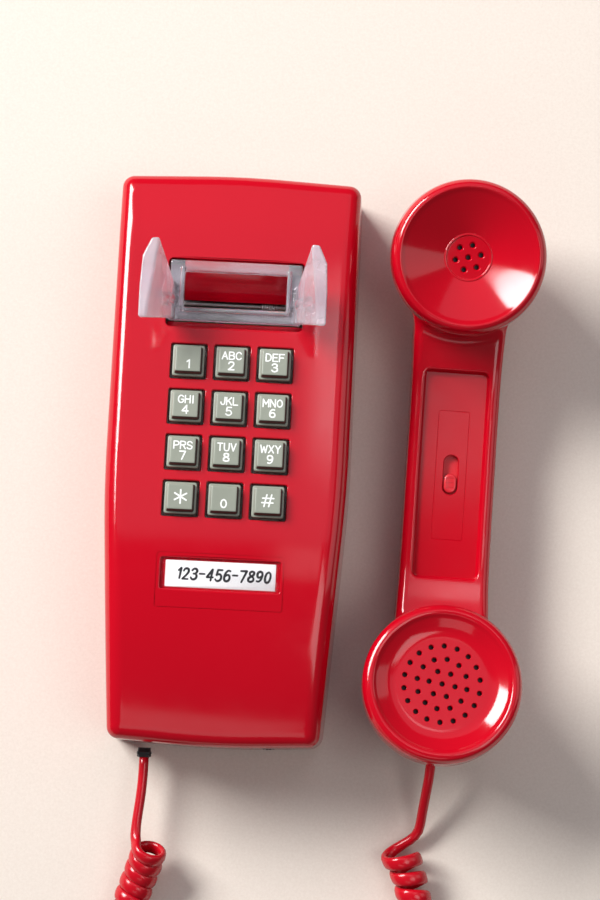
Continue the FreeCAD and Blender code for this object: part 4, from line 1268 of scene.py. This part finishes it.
# ------------------------------------------------------------------ caps
def revolve(name, profile, seg=168):
    loops = []
    for r, w in profile:
        if r < 1e-6:
            loops.append(None if False else [(0.0, 0.0, w)] * seg)
        else:
            loops.append([(r * math.cos(2 * math.pi * k_ / seg), r * math.sin(2 * math.pi * k_ / seg), w) for k_ in range(seg)])
    v, f = loops_mesh(loops, False, False)
    ob = mesh_object(name, v, f)
    return clean(ob, 1e-8)


def fillet_profile(pts, radii, n=5):
    """Rounds the corners of an open polyline."""
    out = [tuple(pts[0])]
    for i in range(1, len(pts) - 1):
        p = np.array(pts[i], float)
        a = np.array(pts[i - 1], float) - p
        b = np.array(pts[i + 1], float) - p
        la, lb = np.linalg.norm(a), np.linalg.norm(b)
        t = min(radii[i], 0.48 * la, 0.48 * lb)
        if t < 1e-3:
            out.append(tuple(p))
            continue
        s, e = p + a / la * t, p + b / lb * t
        for q in range(n + 1):
            u = q / n
            out.append(tuple(s * (1 - u) ** 2 + p * 2 * u * (1 - u) + e * u ** 2))
    out.append(tuple(pts[-1]))
    return out


def cap_object(name, pts, radii, holes, hole_r, top_of, place, node, sink=0.28):
    prof = fillet_profile(pts, radii)
    src = revolve(name + "_src", prof)
    src.data.update()
    ob = src.copy()
    ob.data = src.data.copy()
    ob.name = name
    scene.collection.objects.link(ob)
    cuts = []
    for x, y in holes:
        loops = []
        for g, z in ((0.0, top_of - 6.0), (0.0, top_of - sink), (sink * 0.4, top_of - sink * 0.4), (sink, top_of + 0.04), (sink, top_of + 3.0)):
            loops.append([(x + (hole_r + g) * math.cos(2 * math.pi * k_ / 18), y + (hole_r + g) * math.sin(2 * math.pi * k_ / 18), z) for k_ in range(18)])
        v, f = loops_mesh(loops)
        cuts.append(clean(mesh_object("c", v, f), 1e-9))
    boolean(ob, join(cuts, "cutters"))
    keep_smooth(ob, src)
    bpy.data.objects.remove(src)
    place_object(ob, HS @ place)
    put(ob, red)
    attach(ob, "handset")
    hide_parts(node)
    return ob


ear_holes = [(0.0, 0.0)] + [(4.9 * math.cos(math.radians(60 * k_ + 14)), 4.9 * math.sin(math.radians(60 * k_ + 14))) for k_ in range(6)]
ear_pts = [(0, -9.2), (8.2, -9.2), (8.4, -8.85), (8.85, -8.8), (9.1, -9.05), (24.3, -1.12), (25.5, -0.25), (26.1, 0.0), (27.6, -0.6), (28.9, -2.8),
           (CAP_R + 0.4, -9.6), (CAP_R + 0.3, -12.2), (26.4, -12.2), (26.4, -4.2), (23.6, -4.0), (8.9, -11.2), (0, -11.2)]
cap_object("ear_cap_shell", ear_pts, [0, 0.2, 0.15, 0.15, 0.2, 0.9, 0.6, 0.4, 0.9, 1.2, 1.5, 0.3, 0.2, 0, 0, 0, 0], ear_holes, 0.9, -9.2, EAR, "ear_cap", 0.6)
mouth_holes = [(0.0, 0.0)]
for n_, r_, ph in ((6, 4.85, 52), (12, 9.3, 21.3), (18, 14.1, 9.8)):
    for k_ in range(n_):
        a_ = math.radians(360.0 / n_ * k_ + ph)
        mouth_holes.append((r_ * math.cos(a_), r_ * math.sin(a_)))
mouth_pts = [(0, -4.2), (19.2, -4.2), (24.4, -1.3), (25.5, -0.25), (26.6, 0.0), (28.2, -0.6), (29.4, -3.0), (CAP_R + 0.4, -9.6), (CAP_R + 0.3, -12.2),
             (26.4, -12.2), (26.4, -4.6), (24.0, -4.2), (19.8, -6.2), (0, -6.2)]
cap_object("mouth_cap_shell", mouth_pts, [0, 2.6, 1.6, 0.6, 0.4, 0.9, 1.2, 1.5, 0.3, 0.2, 0, 0, 0, 0], mouth_holes, 0.9, -4.2, MOUTH, "mouth_cap", 0.28)

# ------------------------------------------------------------------ volume slide
def knob_mesh():
    rings = []
    for g, z in ((0.0, 18.9), (0.0, 24.7), (-0.08, 25.05), (-0.3, 25.28), (-0.7, 25.4), (-1.2, 25.36), (-1.8, 25.3)):
        rings.append([(x, y, z) for x, y in obround(2.4 + g, -4.6, -1.9, 10)])
    v, f = loops_mesh(rings)
    a = clean(mesh_object("knob_a", v, f), 1e-9)
    for q in range(3):
        y0 = -5.0 + 1.75 * q
        c = box_cutter(-1.5, 1.5, y0 - 0.32, y0 + 0.32, 25.05, 26.0, 0.1)
        boolean(a, c)
    v, f = loops_mesh([[(x, y, z) for x, y in rounded_rect(4.2, 5.25, 0.6, 4, 0.0, -3.25)] for z in (18.9, 20.4)])
    b = clean(mesh_object("knob_b", v, f), 1e-9)
    v, f = loops_mesh([[(x, y, z) for x, y in rounded_rect(4.1, 8.3, 0.8, 4, 0.0, -0.2)] for z in (21.7, 22.4)])
    c = clean(mesh_object("knob_c", v, f), 1e-9)
    ob = join([a, b, c], "volume_knob_cap")
    return sharp_by_angle(ob, 40.0)


knob = knob_mesh()
place_object(knob, HS)
put(knob, slider_red)
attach(knob, "volume_knob")
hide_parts("volume_slider")


# ------------------------------------------------------------------ clear cradle
def inset(poly, r):
    """The polygon moved inward by r, corner by corner."""
    p = np.array(poly, float)
    n = len(p)
    area2 = sum(p[i, 0] * p[(i + 1) % n, 1] - p[(i + 1) % n, 0] * p[i, 1] for i in range(n))
    s = 1.0 if area2 > 0 else -1.0
    out = []
    for i in range(n):
        a, b, c = p[i - 1], p[i], p[(i + 1) % n]
        d1, d2 = (b - a) / np.linalg.norm(b - a), (c - b) / np.linalg.norm(c - b)
        n1, n2 = s * np.array([-d1[1], d1[0]]), s * np.array([-d2[1], d2[0]])
        k = n1 + n2
        out.append(b + k * r / max(0.35, 1.0 + float(n1 @ n2)))
    return np.array(out)


EAR_EDGE = 1.0
EAR_LOW = inset([(22.0, 49.6), (24.4, 49.2), (24.6, 53.0), (24.4, 58.6), (23.6, 60.4), (22.0, 59.6)], EAR_EDGE)
EAR_MID = inset([(24.7, 47.6), (27.4, 47.4), (28.0, 54.0), (27.8, 64.4), (26.6, 67.6), (24.7, 66.4)], EAR_EDGE)
EAR_TOP = inset([(31.6, 44.7), (34.45, 44.6), (34.45, 57.0), (33.9, 67.6), (30.8, 74.4), (27.7, 74.9)], EAR_EDGE)


def ear_profile(z):
    """Plan of the right ear at height z, through three sections."""
    t = np.clip((z - 46.0) / (74.0 - 46.0), 0, 1)
    m = 0.4
    l0 = (t - m) * (t - 1) / m
    l1 = t * (t - 1) / (m * (m - 1))
    l2 = t * (t - m) / (1 - m)
    return [(l0 * EAR_LOW[i, 0] + l1 * EAR_MID[i, 0] + l2 * EAR_TOP[i, 0], l0 * EAR_LOW[i, 1] + l1 * EAR_MID[i, 1] + l2 * EAR_TOP[i, 1]) for i in range(6)]


def cradle_f(p):
    x, y, z = np.abs(p[:, 0]), p[:, 1], p[:, 2]
    bars = box_dist(x, y, z, -24.8, 24.8, 48.5, 71.2, 45.7, 49.5, 0.7)
    win = box_dist(x, y, z, -19.9, 19.9, 53.4, 67.2, 40.0, 54.0, 0.7)
    frame_ = smax(bars, -win, 0.7)
    rib = box_dist(x, y, z, 19.2, 20.6, 52.0, 68.6, 45.8, 51.2, 0.5)
    frame_ = smin(frame_, rib, 0.6)
    toe_lip = box_dist(x, y, z, -20.4, 20.4, 51.6, 53.0, 45.8, 50.5, 0.45)
    frame_ = smin(frame_, toe_lip, 0.8)
    d2 = poly_dist(x, y, ear_profile(z)) / 1.1 - EAR_EDGE
    e = 1.0
    dz = np.maximum(z - 74.0, 46.0 - z)
    q1, q2 = np.maximum(d2 + e, 0), np.maximum(dz + e, 0)
    ear = np.minimum(np.maximum(d2, dz) + e, 0) + np.sqrt(q1 ** 2 + q2 ** 2) - e
    out = smin(frame_, ear, 1.5)
    # gusset inside each ear
    t = np.clip((z - 49.0) / 17.0, 0, 1)
    web = box_dist(x, y, z, 20.0, 30.0, 55.2, 56.6, 47.0, 66.0, 0.5)
    web = smax(web, (21.6 + 9.0 * t ** 1.2) - x, 1.0)
    out = smin(out, web, 1.6)
    arm = box_dist(x, y, z, 21.0, 24.0, 54.0, 62.0, 30.0, 47.0, 0.4)
    hub = np.maximum(np.sqrt((y - 58.0) ** 2 + (z - 30.0) ** 2) - 4.0, np.abs(x - 22.5) - 1.5)
    out = smin(out, np.minimum(arm, hub), 0.8)
    bore = np.sqrt((y - 58.0) ** 2 + (z - 30.0) ** 2) - 2.05
    out = np.maximum(out, -bore)
    toe = box_dist(p[:, 0], y, z, -24.0, -21.0, 55.5, 60.5, 22.0, 30.0, 0.3)
    return np.minimum(out, np.maximum(toe, -bore))


cradle, cn = solid_of("cradle_clear", cradle_f, (-36.0, 43.0, 21.0), (36.0, 77.0, 75.5), 0.5, 2)
set_normals(cradle, cn)
put(cradle, clear)
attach(cradle, "cradle")
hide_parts("hook_cradle")

# ------------------------------------------------------------------ number card and its window
def sheet_box(name, hx, hy, cx, cy, z0, z1, r=0.3, warp=None):
    nx_ = 40
    loops = []
    base = rounded_rect(hx, hy, r, 4, cx, cy)
    pts = []
    for i in range(len(base)):
        a, b = np.array(base[i]), np.array(base[(i + 1) % len(base)])
        m = nx_ if np.linalg.norm(b - a) > 12 else (8 if np.linalg.norm(b - a) > 3 else 1)
        pts += [tuple(a + (b - a) * q / m) for q in range(m)]
    w = warp or (lambda x, y: 0.0)
    for g, z in ((0.0, z0), (0.0, z1 - 0.12), (-0.12, z1)):
        loops.append([(cx + (x - cx) * (1 + g / hx), cy + (y - cy) * (1 + g / hy), z + (w(x, y) if z > z0 else 0.0)) for x, y in pts])
    v, f = loops_mesh(loops)
    ob = clean(mesh_object(name, v, f), 1e-9)
    return sharp_by_angle(ob, 50.0)


card = sheet_box("card_sheet", 20.3, 4.9, 0.1, CARD_Y - 0.1, 55.2, 55.42, 0.25)
put(card, paper)
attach(card, "base")
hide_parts("number_card")
NUMBER = "123-456-7890"
rng = np.random.RandomState(7)
polys = []
cx_ = -15.6
for i_, ch in enumerate(NUMBER):
    size = 3.9 * (1.0 + 0.06 * rng.uniform(-1, 1))
    wch = max(px for s in GLYPHS[ch] for px, _ in s) * size * 0.62
    dy = 0.18 * rng.uniform(-1, 1)
    slant = 0.16
    for s in GLYPHS[ch]:
        pts = smooth_stroke(s, 75.0, 6)
        P_ = [np.array([cx_ + q[0] * size * 0.62 + slant * (q[1] - 0.5) * size, CARD_Y - size / 2 + dy + q[1] * size]) for q in pts]
        n_ = len(P_)
        wd = [0.8 * (0.72 + 0.4 * math.sin(math.pi * (0.15 + 0.75 * j / max(1, n_ - 1))) + 0.06 * rng.uniform(-1, 1)) for j in range(n_)]
        polys += stroke_polys(P_, 0.5, wd)
    cx_ += wch + 1.02
number = inlay("card_number", polys, lambda x, y, z: (x, y, z), 55.40, 55.44)
put(number, ink)
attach(number, "base")


def crimp(x, y):
    """The window sheet is wrinkled at its right end, where it was pushed under the rim."""
    t = max(0.0, (x - 18.6) / 3.2)
    return 0.16 * t * math.sin(y * 4.1 + 1.3) * math.sin(x * 5.0) - 0.02


window = sheet_box("card_window_sheet", 21.85, 5.5, 0.0, CARD_Y, 55.55, 56.3, 0.5, crimp)
put(window, window_clear)
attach(window, "base")
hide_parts("card_window")
for side in (-1, 1):
    x_ = side * 20.75
    bar = sheet_box("window_stop_left" if side < 0 else "window_stop_right", 0.16, 5.0, x_, CARD_Y, 56.28, 56.5, 0.08)
    put(bar, window_clear)
    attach(bar, "base")

# ------------------------------------------------------------------ cord ends
def ring_box(name, outer, inner, y0, y1, cx, cz, back):
    """A jack body: a box open at the front, lofted along y."""
    loops = []
    for (hx, hz, r), y in ((inner, back), (inner, y0 + 0.3), ((inner[0] + 0.3, inner[1] + 0.3, inner[2] + 0.3), y0), ((outer[0] - 0.4, outer[1] - 0.4, outer[2]), y0),
                           (outer, y0 + 0.4), (outer, y1)):
        loops.append([(cx + x, y, cz + z) for x, z in rounded_rect(hx, hz, r, 4)])
    v, f = loops_mesh(loops)
    return sharp_by_angle(clean(mesh_object(name, v, f), 1e-9), 40.0)


jack = ring_box("cord_jack", (6.3, 5.4, 0.8), (3.95, 3.4, 0.3), -109.4, -99.2, JACK_X, JACK_Z, -101.2)
put(jack, black)
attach(jack, "base")
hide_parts("base_handset_jack")


def clip_mesh():
    """Black grip round the cord where it leaves the base."""
    loops = []
    for y, hx, hz, r in ((-112.2, 2.4, 2.0, 0.7), (-113.6, 2.5, 2.1, 0.8), (-113.8, 2.75, 2.35, 0.9), (-114.6, 2.75, 2.35, 0.9), (-114.8, 2.5, 2.2, 0.9),
                         (-115.0, 2.7, 2.3, 0.9), (-115.6, 2.6, 2.3, 1.0), (-115.8, 2.2, 2.1, 1.2)):
        loops.append([(JACK_X + x, y, JACK_Z + z) for x, z in rounded_rect(hx, hz, r, 5)])
    v, f = loops_mesh(loops)
    return sharp_by_angle(clean(mesh_object("cord_clip", v, f), 1e-9), 50.0)


clip = clip_mesh()
put(clip, black)
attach(clip, "base")


def wheel_mesh():
    """Ringer volume thumbwheel with a fine serrated edge."""
    n = 96
    loops = []
    for r, z, tooth in ((1.65, -1.6, 0), (9.4, -1.6, 0), (9.9, -1.35, 0.2), (10.1, -1.0, 0.35), (10.1, 1.0, 0.35), (9.9, 1.35, 0.2), (9.4, 1.6, 0), (1.65, 1.6, 0)):
        loops.append([((r - tooth * (k % 2)) * math.cos(2 * math.pi * k / n) + 20.0, (r - tooth * (k % 2)) * math.sin(2 * math.pi * k / n) - 100.7, 17.0 + z) for k in range(n)])
    loops.append(loops[0])
    v, f = loops_mesh(loops, False, False)
    return sharp_by_angle(clean(mesh_object("thumbwheel", v, f), 1e-7), 30.0)


wheel = wheel_mesh()
put(wheel, black)
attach(wheel, "volume_wheel")
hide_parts("ringer_volume_wheel")


# ------------------------------------------------------------------ floor, light, camera
def floor_mat():
    m, nt, b = new_mat("floor_paper")
    v = coords(nt)
    nt.links.new(ramp(nt, noise(nt, v, 900.0, 6.0, 0.8), [(0.25, (0.70, 0.62, 0.54)), (0.75, (0.80, 0.73, 0.65))]), b.inputs["Base Color"])
    b.inputs["Roughness"].default_value = 0.9
    b.inputs["Specular IOR Level"].default_value = 0.2
    return m


me = bpy.data.meshes.new("floor")
F = 4.0
me.from_pydata([(-F, -F, -0.0002), (F, -F, -0.0002), (F, F, -0.0002), (-F, F, -0.0002)], [], [(0, 1, 2, 3)])
floor = bpy.data.objects.new("floor", me)
scene.collection.objects.link(floor)
me.materials.append(floor_mat())


def area(name, at_, to, size, power, colour=(1, 1, 1)):
    li = bpy.data.lights.new(name, "AREA")
    li.shape = "RECTANGLE"
    li.size, li.size_y = size
    li.energy = power
    li.color = colour
    ob = bpy.data.objects.new(name, li)
    scene.collection.objects.link(ob)
    ob.location = at_
    d = Vector(to) - Vector(at_)
    ob.rotation_euler = d.to_track_quat("-Z", "Y").to_euler()
    return ob


MID = (0.027, -0.02, 0.03)


def toward(az, el, dist):
    a, e = math.radians(az), math.radians(el)
    return (MID[0] + dist * math.cos(e) * math.cos(a), MID[1] + dist * math.cos(e) * math.sin(a), MID[2] + dist * math.sin(e))


area("key_left", toward(144, 36, 2.6), MID, (1.4, 0.92), 108.0)
area("overhead", (0.05, 1.2, 1.6), (0.05, 1.2, 0.0), (2.2, 1.82), 7.2, (0.92, 0.84, 1.0))
area("pane", (0.29, 0.55, 1.58), (0.29, 0.55, 0.0), (0.19, 0.2), 0.34, (1.0, 0.95, 0.98))
area("pane_handset", (0.2, 0.2, 1.58), (0.2, 0.2, 0.0), (0.18, 0.14), 0.09, (1.0, 0.95, 0.98))
area("right_soft", (1.15, 0.2, 0.62), MID, (0.5, 0.7), 1.1)
area("right_fill", (1.1, -0.35, 2.4), MID, (1.2, 1.2), 12.0)
area("front_fill", (-0.2, -1.8, 2.25), MID, (1.4, 0.6), 2.5)

world = bpy.data.worlds.new("world")
scene.world = world
world.use_nodes = True
bg = world.node_tree.nodes["Background"]
bg.inputs["Color"].default_value = (0.9, 0.93, 1.0, 1)
bg.inputs["Strength"].default_value = 0.09
scene.view_settings.view_transform = "Standard"

cam_data = bpy.data.cameras.new("camera")
cam_data.sensor_fit = "AUTO"
cam_data.sensor_width = 36.0
cam_data.lens = 86.0
cam_data.clip_start, cam_data.clip_end = 0.05, 20.0
camera = bpy.data.objects.new("camera", cam_data)
scene.collection.objects.link(camera)
el, roll, dist = math.radians(84.0), math.radians(2.8), 0.850
target = Vector((0.02703, 0.00673, 0.0))
back = Vector((0.0, -math.cos(el), math.sin(el)))
right = Vector((1, 0, 0))
up = back.cross(right)
rr = right * math.cos(roll) + up * math.sin(roll)
uu = up * math.cos(roll) - right * math.sin(roll)
m3 = Matrix((rr, uu, back)).transposed()
camera.matrix_world = Matrix.Translation(target + back * dist) @ m3.to_4x4()
scene.camera = camera
